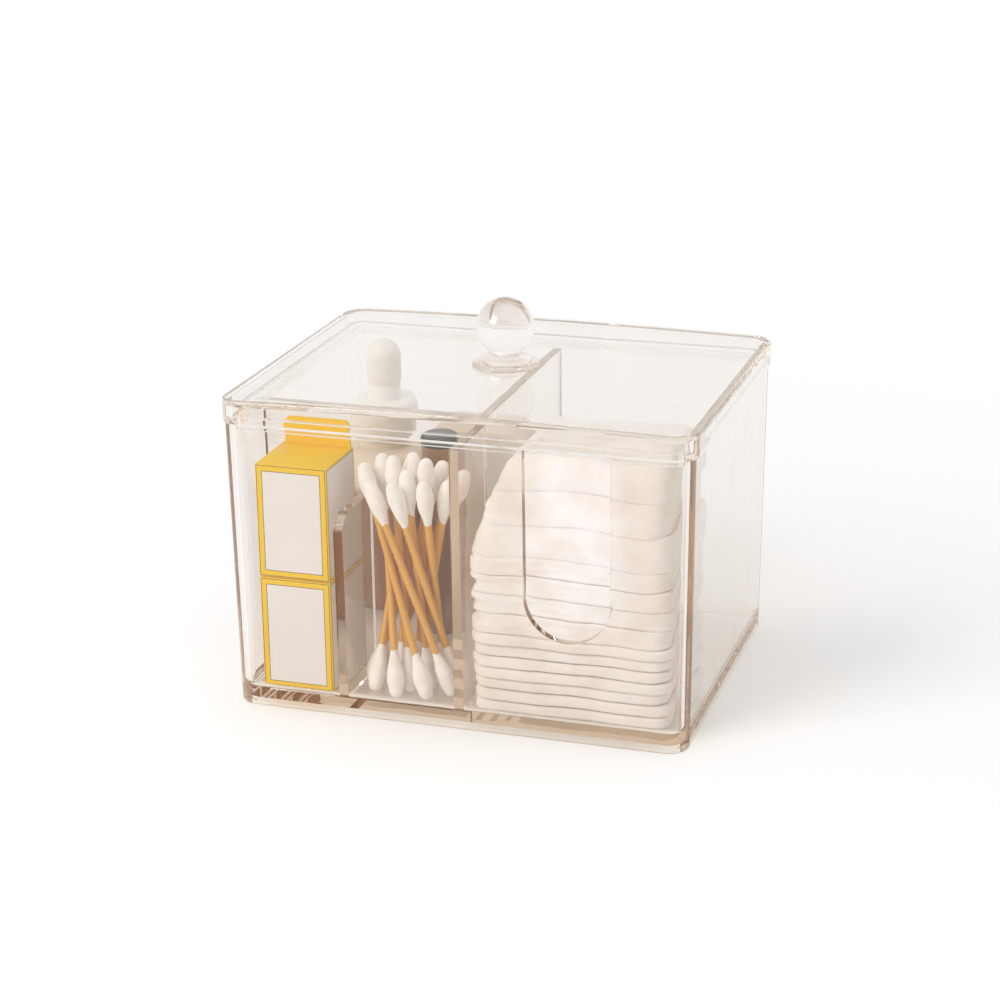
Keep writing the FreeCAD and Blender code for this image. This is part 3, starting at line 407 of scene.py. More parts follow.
def shapeLid(shape):
    outside = crownedBlock("clearLid", shape["halfWide"], shape["halfDeep"], shape["seat"],
                           shape["top"], shape["corner"])
    bevelEdges(outside, lambda edge: all(v.co.z > 0.1 for v in edge.verts) and sharp(edge, 1.0),
               shape["edgeRound"], 4)
    tray = crownedBlock("tray", shape["halfWide"] - shape["skirt"],
                        shape["halfDeep"] - shape["skirt"], shape["seat"] - shape["under"],
                        shape["top"] - shape["plate"], shape["corner"] - shape["skirt"])
    carve(outside, tray, "DIFFERENCE")
    carve(outside, ring("ledge", shape["ledge"]), "UNION")
    carve(outside, ring("lip", shape["lip"]), "UNION")
    return outside


lid = shapeLid(lidShape)
cleanNormals(lid, 0.0005)
smooth(lid, 30, True)
paint(lid, lidPlastic)
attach(lid, "lid")
print("lid shaped,", len(lid.data.polygons), "faces")

# ball knob on a foot with two steps, the foot sunk a little into the crowned plate
knobShape = {"seat": 101.6, "sunk": 0.2, "foot": 10.8, "step": 1.2, "neck": 4.1, "ball": 9.3,
             "ballAt": 12.8, "edge": 0.3, "ballSteps": 40, "sides": 96}


def knobLine(shape):
    foot, step, edge = shape["foot"], shape["step"], shape["edge"]
    line = [(0, -shape["sunk"]), (foot - edge, -shape["sunk"]), (foot, 0.0), (foot, step - edge),
            (foot - edge, step), (9.0, step + 0.05), (9.0, 2 * step - edge), (8.7, 2 * step),
            (7.3, 2 * step + 0.1), (6.2, 2 * step + 0.5), (5.0, 2 * step + 1.0),
            (shape["neck"] + 0.2, 3.4 * step)]
    meet = math.asin(shape["neck"] / shape["ball"])
    for count in range(shape["ballSteps"] + 1):
        turn = meet + (math.pi - meet) * count / shape["ballSteps"]
        radius = shape["ball"] * math.sin(turn) if count < shape["ballSteps"] else 0
        line.append((radius, shape["ballAt"] - shape["ball"] * math.cos(turn)))
    return line


knob = spinProfile("ballKnob", knobLine(knobShape), knobShape["sides"], (0, 0, knobShape["seat"]))
smooth(knob, 40)
paint(knob, lidPlastic)
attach(knob, "lid")
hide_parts("lid")
print("knob turned")


# cartons: two folding boxes on top of each other, each with a printed border round a blank panel
cartonLook = {"yellow": "#f9cd00", "board": "#f1eceb", "keyLine": "#6e5414", "edge": 0.35,
              "outside": 0.35, "line": 0.22, "border": 1.55, "sideBorder": 0.7,
              "tabSide": 0.8, "tabFront": 0.8, "tabBack": 0.05, "tabSunk": 0.2, "tabRound": 2.2}


def printedCard(name, code, roughness, grain, shine=0.5):
    # folding carton board, offset printed and varnished: even colour, soft satin light, faint fibre
    material = newMaterial(name)
    where = addNode(material, "ShaderNodeTexCoord")
    fibre = addNode(material, "ShaderNodeTexNoise", {"Scale": 900.0, "Detail": 3.0},
                    Vector=where.outputs["Object"])  # paper fibre, about 1 mm as it shows
    cloud = addNode(material, "ShaderNodeTexNoise", {"Scale": 60.0, "Detail": 2.0},
                    Vector=where.outputs["Object"])  # uneven ink, about 17 mm
    ink = addNode(material, "ShaderNodeMix", {
        "data_type": "RGBA", 6: toLinear(code), 7: dimmed(toLinear(code), 0.93)},
        in0=cloud.outputs["Fac"])
    relief = addNode(material, "ShaderNodeBump", {"Strength": grain, "Distance": 0.0002},
                     Height=fibre.outputs["Fac"])
    skin = addNode(material, "ShaderNodeBsdfPrincipled", {
        "Roughness": roughness, "Specular IOR Level": shine},
        Base_Color=ink.outputs[2], Normal=relief.outputs["Normal"])
    return finishMaterial(material, skin.outputs["BSDF"])


yellowPrint = printedCard("cartonYellowVarnished", cartonLook["yellow"], 0.42, 0.15, 0.22)
blankPrint = printedCard("cartonWhiteBoard", cartonLook["board"], 0.5, 0.2)
linePrint = printedCard("cartonKeyLine", cartonLook["keyLine"], 0.5, 0.1)


def insetFace(piece, test, steps):  # steps: pairs of the inset and the material number inside it
    edit(piece, "FACE", test)
    for reach, inner in steps:
        bpy.ops.mesh.inset(thickness=reach * mm, depth=0)
        grid = bmesh.from_edit_mesh(piece.data)
        for face in grid.faces:
            if face.select:
                face.material_index = inner
        bmesh.update_edit_mesh(piece.data)
    done()


def makeCarton(name, node, top):
    low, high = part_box(node)
    look = cartonLook
    box = addBox(name, [c / mm for c in low], (high[0] / mm, high[1] / mm, top))
    for material in (yellowPrint, blankPrint, linePrint):
        box.data.materials.append(material)
    insetFace(box, lambda face: face.normal.y < -0.9,
              ((look["outside"], 2), (look["line"], 0), (look["border"], 2), (look["line"], 1)))
    insetFace(box, lambda face: abs(face.normal.x) > 0.9,
              ((look["sideBorder"], 2), (look["line"], 1)))
    bevelEdges(box, lambda edge: sharp(edge, 1.2), look["edge"], 2)
    return box


def addTab(boxTop):  # hanging tab folded up from the back edge of the top
    low, high = (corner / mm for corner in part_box("carton_upper"))
    look = cartonLook
    piece = addBox("cartonTab",
                   (low.x + look["tabSide"], high.y - look["tabFront"], boxTop - look["tabSunk"]),
                   (high.x - look["tabSide"], high.y - look["tabBack"], high.z))
    bevelEdges(piece, lambda edge: abs(edge.verts[0].co.y - edge.verts[1].co.y) > 0.0005
               and edge.verts[0].co.z > 0.08, look["tabRound"], 6)
    paint(piece, yellowPrint)
    return piece


lowerFoot, lowerTop = (corner.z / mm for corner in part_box("carton_lower"))
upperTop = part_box("carton_upper")[0].z / mm + lowerTop - lowerFoot
lowerCarton = makeCarton("lowerCarton", "carton_lower", lowerTop)
upperCarton = makeCarton("upperCarton", "carton_upper", upperTop)
tab = addTab(upperTop)
for piece, node in ((lowerCarton, "carton_lower"), (upperCarton, "carton_upper"), (tab, None)):
    smooth(piece, 30)
    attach(piece, "case")
    if node:
        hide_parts(node)
print("cartons folded")


# cotton swabs: one bamboo stick and one pair of buds, copied to every place
swabShape = {"count": 13, "half": 37.0, "stickHalf": 34.0, "stickRadius": 1.2, "stickSides": 14,
             "woodDark": "#d4912b", "woodLight": "#f3c163", "cotton": "#fffcf9",
             "cottonShade": "#f9f1ea", "bud": 2.66, "budLong": 15.4, "budSides": 20, "fuzz": 0.18,
             "rearBud": 2.8, "rearMore": 3.0, "rearFrom": -41.0, "spin": 1.7}


def bambooSkin():
    # split bamboo, turned and buffed: honey wood with fine dark fibres along the stick, dull sheen
    material = newMaterial("bambooTurned")
    along = addNode(material, "ShaderNodeUVMap")
    stretch = addNode(material, "ShaderNodeMapping", {"Scale": (10.0, 1.2, 1.0)},
                      Vector=along.outputs["UV"])
    fibre = addNode(material, "ShaderNodeTexNoise", {"Scale": 3.0, "Detail": 4.0},
                    Vector=stretch.outputs["Vector"])  # fibres about 0.3 mm wide, 20 mm long
    tone = addNode(material, "ShaderNodeValToRGB", None, Fac=fibre.outputs["Fac"])
    tone.color_ramp.elements[0].position = 0.3
    tone.color_ramp.elements[0].color = toLinear(swabShape["woodDark"])
    tone.color_ramp.elements[1].position = 0.7
    tone.color_ramp.elements[1].color = toLinear(swabShape["woodLight"])
    relief = addNode(material, "ShaderNodeBump", {"Strength": 0.2, "Distance": 0.0001},
                     Height=fibre.outputs["Fac"])
    skin = addNode(material, "ShaderNodeBsdfPrincipled", {"Roughness": 0.52},
                   Base_Color=tone.outputs["Color"], Normal=relief.outputs["Normal"])
    return finishMaterial(material, skin.outputs["BSDF"])


def cottonSkin(name, light, deep, fibreScale, reliefDepth, tuftScale):
    # bleached cotton wool, carded and pressed: dead matt, downy at the rim, fibres that catch light
    material = newMaterial(name)
    where = addNode(material, "ShaderNodeTexCoord")
    down = addNode(material, "ShaderNodeTexNoise", {
        "Scale": fibreScale, "Detail": 6.0, "Roughness": 0.65},
        Vector=where.outputs["Object"])  # fibre ends, 1 mm or less
    tuft = addNode(material, "ShaderNodeTexNoise", {"Scale": tuftScale, "Detail": 2.0},
                   Vector=where.outputs["Object"])  # thick and thin places in the wool
    ramp = addNode(material, "ShaderNodeValToRGB", None, Fac=tuft.outputs["Fac"])
    ramp.color_ramp.elements[0].position = 0.32
    ramp.color_ramp.elements[0].color = toLinear(deep)
    ramp.color_ramp.elements[1].position = 0.62
    ramp.color_ramp.elements[1].color = toLinear(light)
    relief = addNode(material, "ShaderNodeBump", {"Strength": 0.5, "Distance": reliefDepth},
                     Height=down.outputs["Fac"])
    skin = addNode(material, "ShaderNodeBsdfPrincipled", {
        "Roughness": 0.95, "Sheen Weight": 0.25, "Sheen Roughness": 0.6, "Subsurface Weight": 0.12,
        "Subsurface Radius": (0.004, 0.003, 0.002), "Subsurface Scale": 1.0},
        Base_Color=ramp.outputs["Color"], Normal=relief.outputs["Normal"])
    return finishMaterial(material, skin.outputs["BSDF"])


bamboo = bambooSkin()
budCotton = cottonSkin("cottonBudWound", swabShape["cotton"], swabShape["cottonShade"], 1400.0,
                       0.0002, 260.0)


def turnStick():  # round stick with a map that runs along it, one unit to 20 mm
    stick = addDisc("swabStick", swabShape["stickRadius"], (0, 0, -swabShape["stickHalf"]),
                    swabShape["stickSides"])
    edit(stick, "FACE", everything)
    bpy.ops.mesh.extrude_region_move(
        TRANSFORM_OT_translate={"value": (0, 0, 2 * swabShape["stickHalf"] * mm)})
    done()
    cleanNormals(stick, 0.002)
    wrap = stick.data.uv_layers.new(name="along")
    for face in stick.data.polygons:
        for corner in face.loop_indices:
            spot = stick.data.vertices[stick.data.loops[corner].vertex_index].co
            wrap.data[corner].uv = (math.atan2(spot.y, spot.x) / (2 * math.pi), spot.z / (20 * mm))
    smooth(stick, 60)
    paint(stick, bamboo)
    return stick


def spinBud(name, line):
    bud = spinProfile(name, line, swabShape["budSides"])
    edit(bud, "FACE", everything)
    bpy.ops.mesh.subdivide(number_cuts=1, smoothness=0.6)
    return bud


def windBuds(name, more, girth):  # both ends of one swab, the upper one longer by more
    root = swabShape["half"] - swabShape["budLong"]
    lower = swabShape["half"]
    upper = lower + more
    line = [(0, upper), (0.75, upper - 0.12), (1.45, upper - 0.55), (2.0, upper - 1.5),
            (2.38, upper - 3.0), (girth, upper - 5.4), (girth - 0.1, upper - 7.8),
            (2.3, upper - 10.0), (1.8, upper - 12.2), (1.36, upper - 13.8), (1.14, root)]
    buds = spinBud(name, line)
    done()
    other = spinBud("otherBud", [(radius, height + lower - upper if height > root else height)
                                 for radius, height in line])
    bpy.ops.transform.rotate(value=math.pi, orient_axis="X", center_override=(0, 0, 0))
    done()
    pick(buds, other)
    bpy.ops.object.join()
    for v in buds.data.vertices:  # wound cotton has low lumps, 2 to 4 mm long
        lump = noise.noise(Vector((v.co.x * 420, v.co.y * 420, v.co.z * 260)))
        out = Vector((v.co.x, v.co.y, 0))
        if out.length > 1e-5:
            v.co += out.normalized() * lump * swabShape["fuzz"] * mm
    cleanNormals(buds, 0.002)
    smooth(buds, 80)
    paint(buds, budCotton)
    return buds


def alongNode(node):  # matrix that stands a model made along Z where a CAD stick stands
    spots = [v.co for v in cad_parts[node].data.vertices]
    middle = (max(p.z for p in spots) + min(p.z for p in spots)) / 2
    upper = [p for p in spots if p.z > middle]
    lower = [p for p in spots if p.z <= middle]
    top = sum(upper, Vector()) / len(upper)
    foot = sum(lower, Vector()) / len(lower)
    turn = Vector((0, 0, 1)).rotation_difference(top - foot)
    return Matrix.Translation((top + foot) / 2) @ turn.to_matrix().to_4x4()


stickModel = turnStick()
frontBuds = windBuds("swabBuds", 0.0, swabShape["bud"])
rearBuds = windBuds("rearBuds", swabShape["rearMore"], swabShape["rearBud"])
for number in range(1, swabShape["count"] + 1):
    place = alongNode("swab_stick_%02d" % number)
    spin = Matrix.Rotation(number * swabShape["spin"], 4, "Z")
    top = place @ Vector((0, 0, swabShape["half"] * mm))
    buds = rearBuds if top.y > swabShape["rearFrom"] * mm else frontBuds
    for model, name, node, finish in (
            (stickModel, "swabStick%02d", "swab_stick_%02d", "bamboo_stick"),
            (buds, "swabBuds%02d", "swab_buds_%02d", "cotton_bud")):
        piece = copyOf(model, name % number)
        piece.data.transform(place @ spin)
        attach(piece, "case")
        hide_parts(node % number)
for model in (stickModel, frontBuds, rearBuds):
    bpy.data.objects.remove(model)
print("swabs placed")


# cotton pads: a pile of wads, pressed flat below and loose and crumpled above
padLook = {"count": 14, "looseFrom": 8, "softFrom": 12, "cotton": "#f8f2ef",
           "cottonShade": "#f0e5dc", "sides": 168, "rings": 10, "row": 0.42, "leastRows": 8,
           "corner": 5.0, "sideGap": 0.2, "inset": 0.5, "fray": 0.3, "wave": 1.0, "puff": 0.9,
           "fold": 0.45, "hollow": 0.2, "crown": 5.0, "proud": 0.3, "hang": 5.0}
padKinds = {"flat": {"sheets": 1, "round": 1.0, "torn": 0.5, "jag": 0.5, "crease": 0.0,
                     "press": 0.05, "fill": 0.45},
            "loose": {"sheets": 3, "round": 0.38, "torn": 1.6, "jag": 2.6, "crease": 0.14,
                      "press": 0.11, "fill": 0.6},
            "soft": {"sheets": 3, "round": 0.05, "torn": 0.12, "jag": 0.9, "crease": 0.0,
                     "press": 0.14, "fill": 0.7}}
pileShape = {"left": 3.6, "slump": 4.5, "slumpFrom": 55.0, "slumpOver": 16.0, "swayFrom": 8.0,
             "swayOver": 40.0}
padCotton = cottonSkin("cottonPadPressed", padLook["cotton"], padLook["cottonShade"], 1100.0,
                       0.0003, 90.0)


def lumps(x, y, z):
    return noise.noise(Vector((x, y, z)))


def pileSway(x, y, z):  # one slow field for the whole pile, so that neighbours crumple together
    lift = max(0.0, min(1.0, (z - pileShape["swayFrom"]) / pileShape["swayOver"]))
    slow = lumps(x * 0.045, y * 0.06, z * 0.03 + 3.0)
    quick = lumps(x * 0.13, y * 0.16, z * 0.05 + 9.0)
    return (slow * 1.5 + quick * 0.5) * padLook["wave"] * lift


def pileLean(z):  # left edge of the pile, whose top slumps away from the left wall
    over = max(0.0, (z - pileShape["slumpFrom"]) / pileShape["slumpOver"])
    return pileShape["left"] + pileShape["slump"] * over ** 1.3


def roundedEdge(turn, reachX, reachY):  # where a line in this direction leaves a rounded rectangle
    corner = padLook["corner"]
    scale = max(abs(math.cos(turn)), abs(math.sin(turn)))
    edgeX, edgeY = reachX * math.cos(turn) / scale, reachY * math.sin(turn) / scale
    overX, overY = abs(edgeX) - (reachX - corner), abs(edgeY) - (reachY - corner)
    if overX > 0 and overY > 0:
        shrink = corner / math.hypot(overX, overY)
        edgeX = math.copysign(reachX - corner + overX * shrink, edgeX)
        edgeY = math.copysign(reachY - corner + overY * shrink, edgeY)
    return edgeX, edgeY


def padInset(wad, level, height, turn, edgeX, edgeY):
    # how far the wad's side lies inside its outline: rounding, sheets, torn ends and slow folds
    ply = level * wad["sheets"]  # thin sheets pressed into one wad
    leaf = min(wad["sheets"] - 1, int(ply)) + wad["number"] * 10
    split = abs(ply - round(ply)) * 2 * wad["thick"] / wad["sheets"]
    bend = wad["crown"] if height > 0 else wad["round"]
    over = max(0.0, abs(height) - wad["thick"] + bend)
    free = 0.25 + 0.75 * max(0.0, -math.cos(turn))  # the left ends hang free and fray the most
    z = wad["middle"] + height
    inset = bend - math.sqrt(max(0.0, bend ** 2 - over ** 2))
    inset += wad["crease"] * math.exp(-(split / 0.3) ** 2)
    inset += padLook["inset"] + free * wad["torn"] * lumps(edgeX * 0.14, edgeY * 0.2, leaf * 7.3)
    inset += padLook["fray"] * free * lumps(edgeX * 0.9, edgeY * 0.9, leaf * 3.1)
    inset += free ** 3 * wad["jag"] * lumps(edgeY * 0.12, 5.5, z * 0.42)
    inset -= padLook["puff"] * lumps(edgeX * 0.07, edgeY * 0.1, z * 0.045)
    inset -= padLook["fold"] * lumps(edgeX * 0.09, edgeY * 0.09, z * 0.26)
    return max(inset, -padLook["proud"])


def stackDisc(name, rows):  # round disc of rings, drawn up in equal rows for the points to be set
    clearPick()
    bpy.ops.mesh.primitive_circle_add(vertices=padLook["sides"], radius=mm, fill_type="NGON")
    piece = named(name)
    edit(piece, "FACE", everything)
    for count in range(padLook["rings"]):
        bpy.ops.mesh.inset(thickness=mm * 0.95 / padLook["rings"], depth=0)
    bpy.ops.mesh.poke()
    bpy.ops.mesh.select_all(action="SELECT")
    for count in range(rows):
        bpy.ops.mesh.extrude_region_move(TRANSFORM_OT_translate={"value": (0, 0, mm)})
    done()
    return piece


def makePad(number):
    kind = padKinds["flat" if number < padLook["looseFrom"] else
                    "loose" if number < padLook["softFrom"] else "soft"]
    node = "cotton_pad_%02d" % number
    low, high = (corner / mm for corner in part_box(node))
    thick = (high.z - low.z) / 2 + kind["press"]
    middle = (high.z + low.z) / 2
    wad = dict(kind, number=number, thick=thick, middle=middle,
               crown=padLook["crown"] if number == padLook["count"] else kind["round"])
    rows = max(padLook["leastRows"], round(2 * thick / padLook["row"]))
    pad = stackDisc("cottonPad%02d" % number, rows)
    for v in pad.data.vertices:
        share = min(1.0, math.hypot(v.co.x, v.co.y) / mm)
        turn = math.atan2(v.co.y, v.co.x)
        level = round(v.co.z / mm) / rows  # 0 at the foot of the wad, 1 at its top
        height = (2 * level - 1) * (thick - padLook["hollow"] * (1 - share))  # only the rims meet
        left = max(low.x - padLook["hang"], pileLean(middle + height))
        reachX, reachY = (high.x - left) / 2, (high.y - low.y) / 2 - padLook["sideGap"]
        edgeX, edgeY = roundedEdge(turn, reachX, reachY)
        inset = padInset(wad, level, height, turn, edgeX, edgeY)
        spread = (1 - (1 - share) ** 1.6) * (1 - inset / math.hypot(edgeX, edgeY))
        x = (high.x + left) / 2 + edgeX * spread
        y = (high.y + low.y) / 2 + edgeY * spread
        z = middle + height
        v.co = Vector((x, y, z + pileSway(x, y, z))) * mm
    cleanNormals(pad, 0.001)
    smooth(pad, 60)
    paint(pad, padCotton)
    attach(pad, "case")
    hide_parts(node)


for number in range(1, padLook["count"] + 1):
    makePad(number)
print("pads piled")


# small cosmetics behind: amber bottle with a dropper, a lipstick and a compact
# the amber bottle's lower tone, and the height it reaches, carry painted shade from the swab sticks
# in front
cosmeticLook = {"amberWithShade": "#985a10", "amberPaleTop": "#ebdecd", "paintedShadeTop": 50.0, "cap": "#f4f1ea",
                "bulb": "#efe7dc", "lacquer": "#080706", "bronze": "#94682f", "case": "#e1d1bd",
                "turnSides": 64, "blackBand": 3.6, "caseCorner": 9.0, "caseEdge": 2.2}


def mouldedSkin(name, code, roughness, coat, speckle):
    # injection moulded plastic or lacquer: even colour under a thin gloss, tiny orange peel
    material = newMaterial(name)
    where = addNode(material, "ShaderNodeTexCoord")
    peel = addNode(material, "ShaderNodeTexNoise", {"Scale": 500.0, "Detail": 2.0},
                   Vector=where.outputs["Object"])  # orange peel, about 2 mm
    base = toLinear(code)
    tone = addNode(material, "ShaderNodeMix", {
        "data_type": "RGBA", 6: base, 7: dimmed(base, 1 - speckle)}, in0=peel.outputs["Fac"])
    relief = addNode(material, "ShaderNodeBump", {"Strength": 0.05, "Distance": 0.0003},
                     Height=peel.outputs["Fac"])
    skin = addNode(material, "ShaderNodeBsdfPrincipled", {
        "Roughness": roughness, "Coat Weight": coat, "Coat Roughness": 0.05},
        Base_Color=tone.outputs[2], Normal=relief.outputs["Normal"])
    return finishMaterial(material, skin.outputs["BSDF"])


def shadedAmberGlass(name, shadedAmberCode, empty, level):
    # pressed amber glass, hard gloss: its own deep warm amber, darkened with painted shade from the
    # swab sticks in front up to the given height, and paler above
    material = mouldedSkin(name, shadedAmberCode, 0.1, 0.4, 0.2)
    tree = material.node_tree
    skin = next(node for node in tree.nodes if node.type == "BSDF_PRINCIPLED")
    shadedAmberSocket = skin.inputs["Base Color"].links[0].from_socket
    where = addNode(material, "ShaderNodeTexCoord")
    split = addNode(material, "ShaderNodeSeparateXYZ", None, in0=where.outputs["Object"])
    # painted shade: the bottle turns from the shaded amber below to the pale tone above this height
    height = addNode(material, "ShaderNodeMapRange", {
        "From Min": (level - 3.0) * mm, "From Max": (level + 1.0) * mm}, Value=split.outputs["Z"])
    tone = addNode(material, "ShaderNodeMix", {"data_type": "RGBA", 7: toLinear(empty)},
                   in0=height.outputs[0], in6=shadedAmberSocket)
    tree.links.new(tone.outputs[2], skin.inputs["Base Color"])
    return material


amber = shadedAmberGlass("amberGlassPressed", cosmeticLook["amberWithShade"], cosmeticLook["amberPaleTop"],
                    cosmeticLook["paintedShadeTop"])
whiteCap = mouldedSkin("whitePolypropylene", cosmeticLook["cap"], 0.3, 0.3, 0.04)
cream = mouldedSkin("siliconeRubberBulb", cosmeticLook["bulb"], 0.55, 0.0, 0.05)
blackLacquer = mouldedSkin("blackLacquerTube", cosmeticLook["lacquer"], 0.16, 0.0, 0.3)
bronzeTube = mouldedSkin("bronzeAnodisedTube", cosmeticLook["bronze"], 0.25, 0.4, 0.2)
taupe = mouldedSkin("taupeSatinCase", cosmeticLook["case"], 0.42, 0.2, 0.08)


# profiles give pairs of radius and height over the piece's foot, for a piece this tall
def quarterArc(middle, reach, foot, rise, steps):  # from the side up to the crest
    turns = [math.pi / 2 * step / steps for step in range(1, steps + 1)]
    return [(middle + reach * math.cos(turn), foot + rise * math.sin(turn)) for turn in turns]


def bottleLine(tall):
    shoulder = tall - 11.5
    return ([(0, 0.6), (9, 0.5), (12.5, 0), (14.6, 0.5), (15.7, 1.8), (16, 3.6), (16, shoulder)]
            + quarterArc(9, 7, shoulder, 7.5, 8) + [(9, tall - 0.2), (8.8, tall), (0, tall)])


def collarLine(tall):
    shoulder = tall - 5.2
    return [(0, 0), (10.9, 0), (11.2, 0.3), (11.2, shoulder - 2.6), (11.0, shoulder - 1.5),
            (10.4, shoulder - 0.6), (9.4, shoulder - 0.1), (8.6, shoulder), (6.0, shoulder + 0.2),
            (5.6, shoulder + 0.8), (5.5, tall - 0.3), (5.2, tall), (0, tall)]


def bulbLine(tall):
    dome = tall - 2.2 - 5.8
    arc = quarterArc(0, 5.8, dome, 5.8, 10)
    return ([(0, 0), (5.4, 0), (5.6, 0.6), (5.7, 1.5), (5.8, 3.0), (5.8, dome)] + arc[:-1]
            + [(0, arc[-1][1])])


def tubeLine(tall):
    return [(0, 0), (5.2, 0), (5.5, 0.3), (5.5, tall - 3), (5.3, tall - 2.8), (5.3, tall - 0.1),
            (0, tall - 0.1)]


def capLine(tall):  # two fine grooves, near the foot and near the top
    return [(0, 0), (5.9, 0), (6.1, 0.2), (6.1, 1.6), (5.95, 1.8), (5.95, 2.2), (6.1, 2.4),
            (6.1, tall - 3.9), (6.0, tall - 3.7), (6.0, tall - 3.5), (6.1, tall - 3.3),
            (6.1, tall - 1.2), (5.8, tall - 0.5), (5.2, tall - 0.1), (4.6, tall), (0, tall)]


def turnedPiece(name, node, line, material, degrees=35):
    x, y, foot, top = standAt(node)
    piece = spinProfile(name, line(top - foot), cosmeticLook["turnSides"], (x, y, foot))
    smooth(piece, degrees)
    paint(piece, material)
    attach(piece, "case")
    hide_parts(node)
    return piece


turnedPiece("amberBottle", "bottle_glass", bottleLine, amber)
turnedPiece("dropperCollar", "bottle_collar", collarLine, whiteCap)
turnedPiece("dropperBulb", "bottle_bulb", bulbLine, cream, 60)
turnedPiece("lipstickTube", "lipstick_base", tubeLine, bronzeTube)
lipstickCap = turnedPiece("lipstickCap", "lipstick_cap", capLine, blackLacquer)
lipstickCap.data.materials.append(bronzeTube)
bandFoot = (standAt("lipstick_cap")[3] - cosmeticLook["blackBand"]) * mm
for face in lipstickCap.data.polygons:  # only the top of the cap is lacquered black
    face.material_index = 0 if face.center.z > bandFoot else 1

compactCase = addBox("compactCase", *[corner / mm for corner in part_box("compact")])
bevelEdges(compactCase, lambda edge: abs(edge.verts[0].co.y - edge.verts[1].co.y) > 0.005,
           cosmeticLook["caseCorner"], 10)
bevelEdges(compactCase, lambda edge: sharp(edge, 1.2), cosmeticLook["caseEdge"], 5)
smooth(compactCase, 40, True)
paint(compactCase, taupe)
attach(compactCase, "case")
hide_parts("compact")
print("cosmetics placed")


# camera, with its target and distance in mm and its angles in degrees
camera = {"target": (-2.45, 0.0, 56.14), "turn": 17.8, "rise": 19.1, "roll": -0.71, "away": 783.7,
          "lens": 87.16, "sensor": 36, "farthest": 50}


def placeCamera():
    turn, rise, roll = (math.radians(camera[key]) for key in ("turn", "rise", "roll"))
    out = Vector((math.sin(turn) * math.cos(rise), -math.cos(turn) * math.cos(rise),
                  math.sin(rise)))
    side = Vector((math.cos(turn), math.sin(turn), 0))
    up = out.cross(side)
    across = side * math.cos(roll) + up * math.sin(roll)
    upward = up * math.cos(roll) - side * math.sin(roll)
    spot = Vector(camera["target"]) * mm + out * camera["away"] * mm
    shot = bpy.data.cameras.new("shot")
    shot.lens = camera["lens"]
    shot.sensor_width = camera["sensor"]
    shot.clip_end = camera["farthest"]
    eye = bpy.data.objects.new("shot", shot)
    bpy.context.scene.collection.objects.link(eye)
    facing = Matrix((across, upward, out)).transposed().to_4x4()
    eye.matrix_world = Matrix.Translation(spot) @ facing
    bpy.context.scene.camera = eye


placeCamera()

# floor and plain studio light, distances in metres
studio = {"paper": "#f7f7f7", "white": "#ffffff", "ownLight": 0.1, "fadeFrom": 0.12, "fadeTo": 0.42,
          "floorSize": 30, "ambient": 0.66, "key": 9.5, "keySize": 0.7,
          "keyAt": (-0.75, -0.95, 0.85), "fill": 3.0, "fillSize": 1.2, "fillAt": (0.2, 0.3, 1.5),
          "aim": (0, 0, 0.05), "bounces": 128, "clearBounces": 32}


def seenByEye(material):  # 1 where the eye looks straight, by a reflection or through the plastic
    path = addNode(material, "ShaderNodeLightPath")
    mirrored = addNode(material, "ShaderNodeMath", {"operation": "MAXIMUM"},
                       in0=path.outputs["Is Camera Ray"], in1=path.outputs["Is Glossy Ray"])
    through = addNode(material, "ShaderNodeMath", {"operation": "MAXIMUM"},
                      in0=mirrored.outputs[0], in1=path.outputs["Is Transmission Ray"])
    return through.outputs[0]


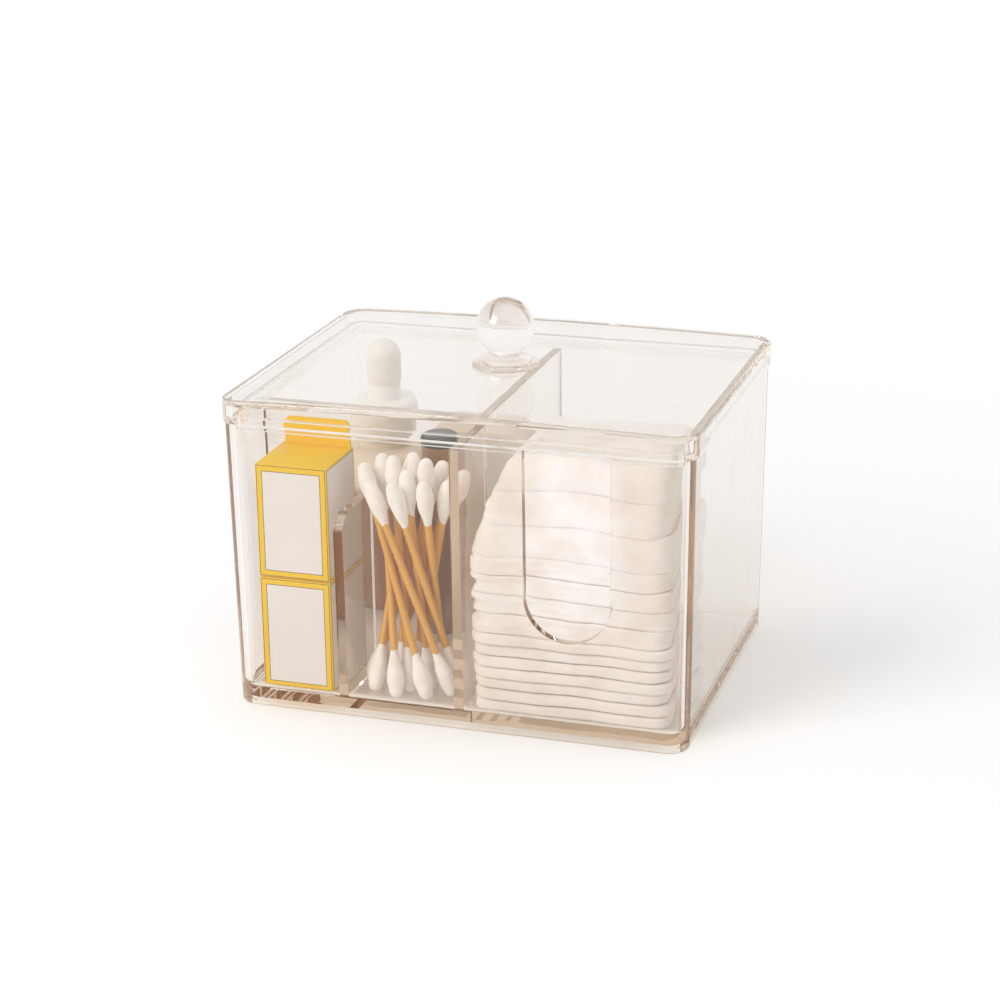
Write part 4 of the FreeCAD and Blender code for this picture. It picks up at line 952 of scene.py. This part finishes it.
def seamlessPaper():
    # matt white paper with no seam: takes the shadow close by, and fades to plain white further off
    material = newMaterial("whiteSeamlessPaper")
    skin = addNode(material, "ShaderNodeBsdfDiffuse", {"Color": toLinear(studio["paper"])})
    lift = addNode(material, "ShaderNodeMath", {"operation": "MULTIPLY", 1: studio["ownLight"]},
                   in0=seenByEye(material))
    glow = addNode(material, "ShaderNodeEmission", {"Color": toLinear(studio["white"])},
                   Strength=lift.outputs[0])
    near = addNode(material, "ShaderNodeAddShader", None, in0=skin.outputs[0], in1=glow.outputs[0])
    where = addNode(material, "ShaderNodeTexCoord")
    away = addNode(material, "ShaderNodeVectorMath", {"operation": "LENGTH"},
                   in0=where.outputs["Object"])
    fade = addNode(material, "ShaderNodeMapRange", {
        "interpolation_type": "SMOOTHSTEP", "From Min": studio["fadeFrom"],
        "From Max": studio["fadeTo"]}, Value=away.outputs["Value"])
    far = addNode(material, "ShaderNodeEmission", {
        "Color": toLinear(studio["white"]), "Strength": 1.0})
    mix = addNode(material, "ShaderNodeMixShader", None, in0=fade.outputs[0], in1=near.outputs[0],
                  in2=far.outputs[0])
    return finishMaterial(material, mix.outputs[0])


def lightRoom():  # an even room that lights at its own level and looks white
    world = bpy.data.worlds.new("studioRoom")
    bpy.context.scene.world = world
    world.use_nodes = True
    world.node_tree.nodes.clear()
    seen = seenByEye(world)
    even = addNode(world, "ShaderNodeBackground", {
        "Color": toLinear(studio["white"]), "Strength": studio["ambient"]})
    white = addNode(world, "ShaderNodeBackground", {
        "Color": toLinear(studio["white"]), "Strength": 1.0})
    mix = addNode(world, "ShaderNodeMixShader", None, in0=seen, in1=even.outputs[0],
                  in2=white.outputs[0])
    addNode(world, "ShaderNodeOutputWorld", None, Surface=mix.outputs[0])


def addLamp(name, spot, size, power):  # soft square lamp that faces the organiser
    light = bpy.data.lights.new(name, "AREA")
    light.size = size
    light.energy = power
    lamp = bpy.data.objects.new(name, light)
    bpy.context.scene.collection.objects.link(lamp)
    lamp.location = spot
    facing = Vector(studio["aim"]) - Vector(spot)
    lamp.rotation_euler = facing.to_track_quat("-Z", "Y").to_euler()


clearPick()
bpy.ops.mesh.primitive_plane_add(size=studio["floorSize"], location=(0, 0, 0))
floor = settle(named("paperFloor"))
paint(floor, seamlessPaper())
bpy.context.scene.view_settings.view_transform = "Standard"
bpy.context.scene.cycles.max_bounces = studio["bounces"]  # light runs far inside clear plastic
bpy.context.scene.cycles.transmission_bounces = studio["bounces"]
bpy.context.scene.cycles.glossy_bounces = studio["bounces"]
bpy.context.scene.cycles.transparent_max_bounces = studio["clearBounces"]
lightRoom()
addLamp("softboxLeft", studio["keyAt"], studio["keySize"], studio["key"])
addLamp("softboxTop", studio["fillAt"], studio["fillSize"], studio["fill"])
print("camera, floor and lamps set")
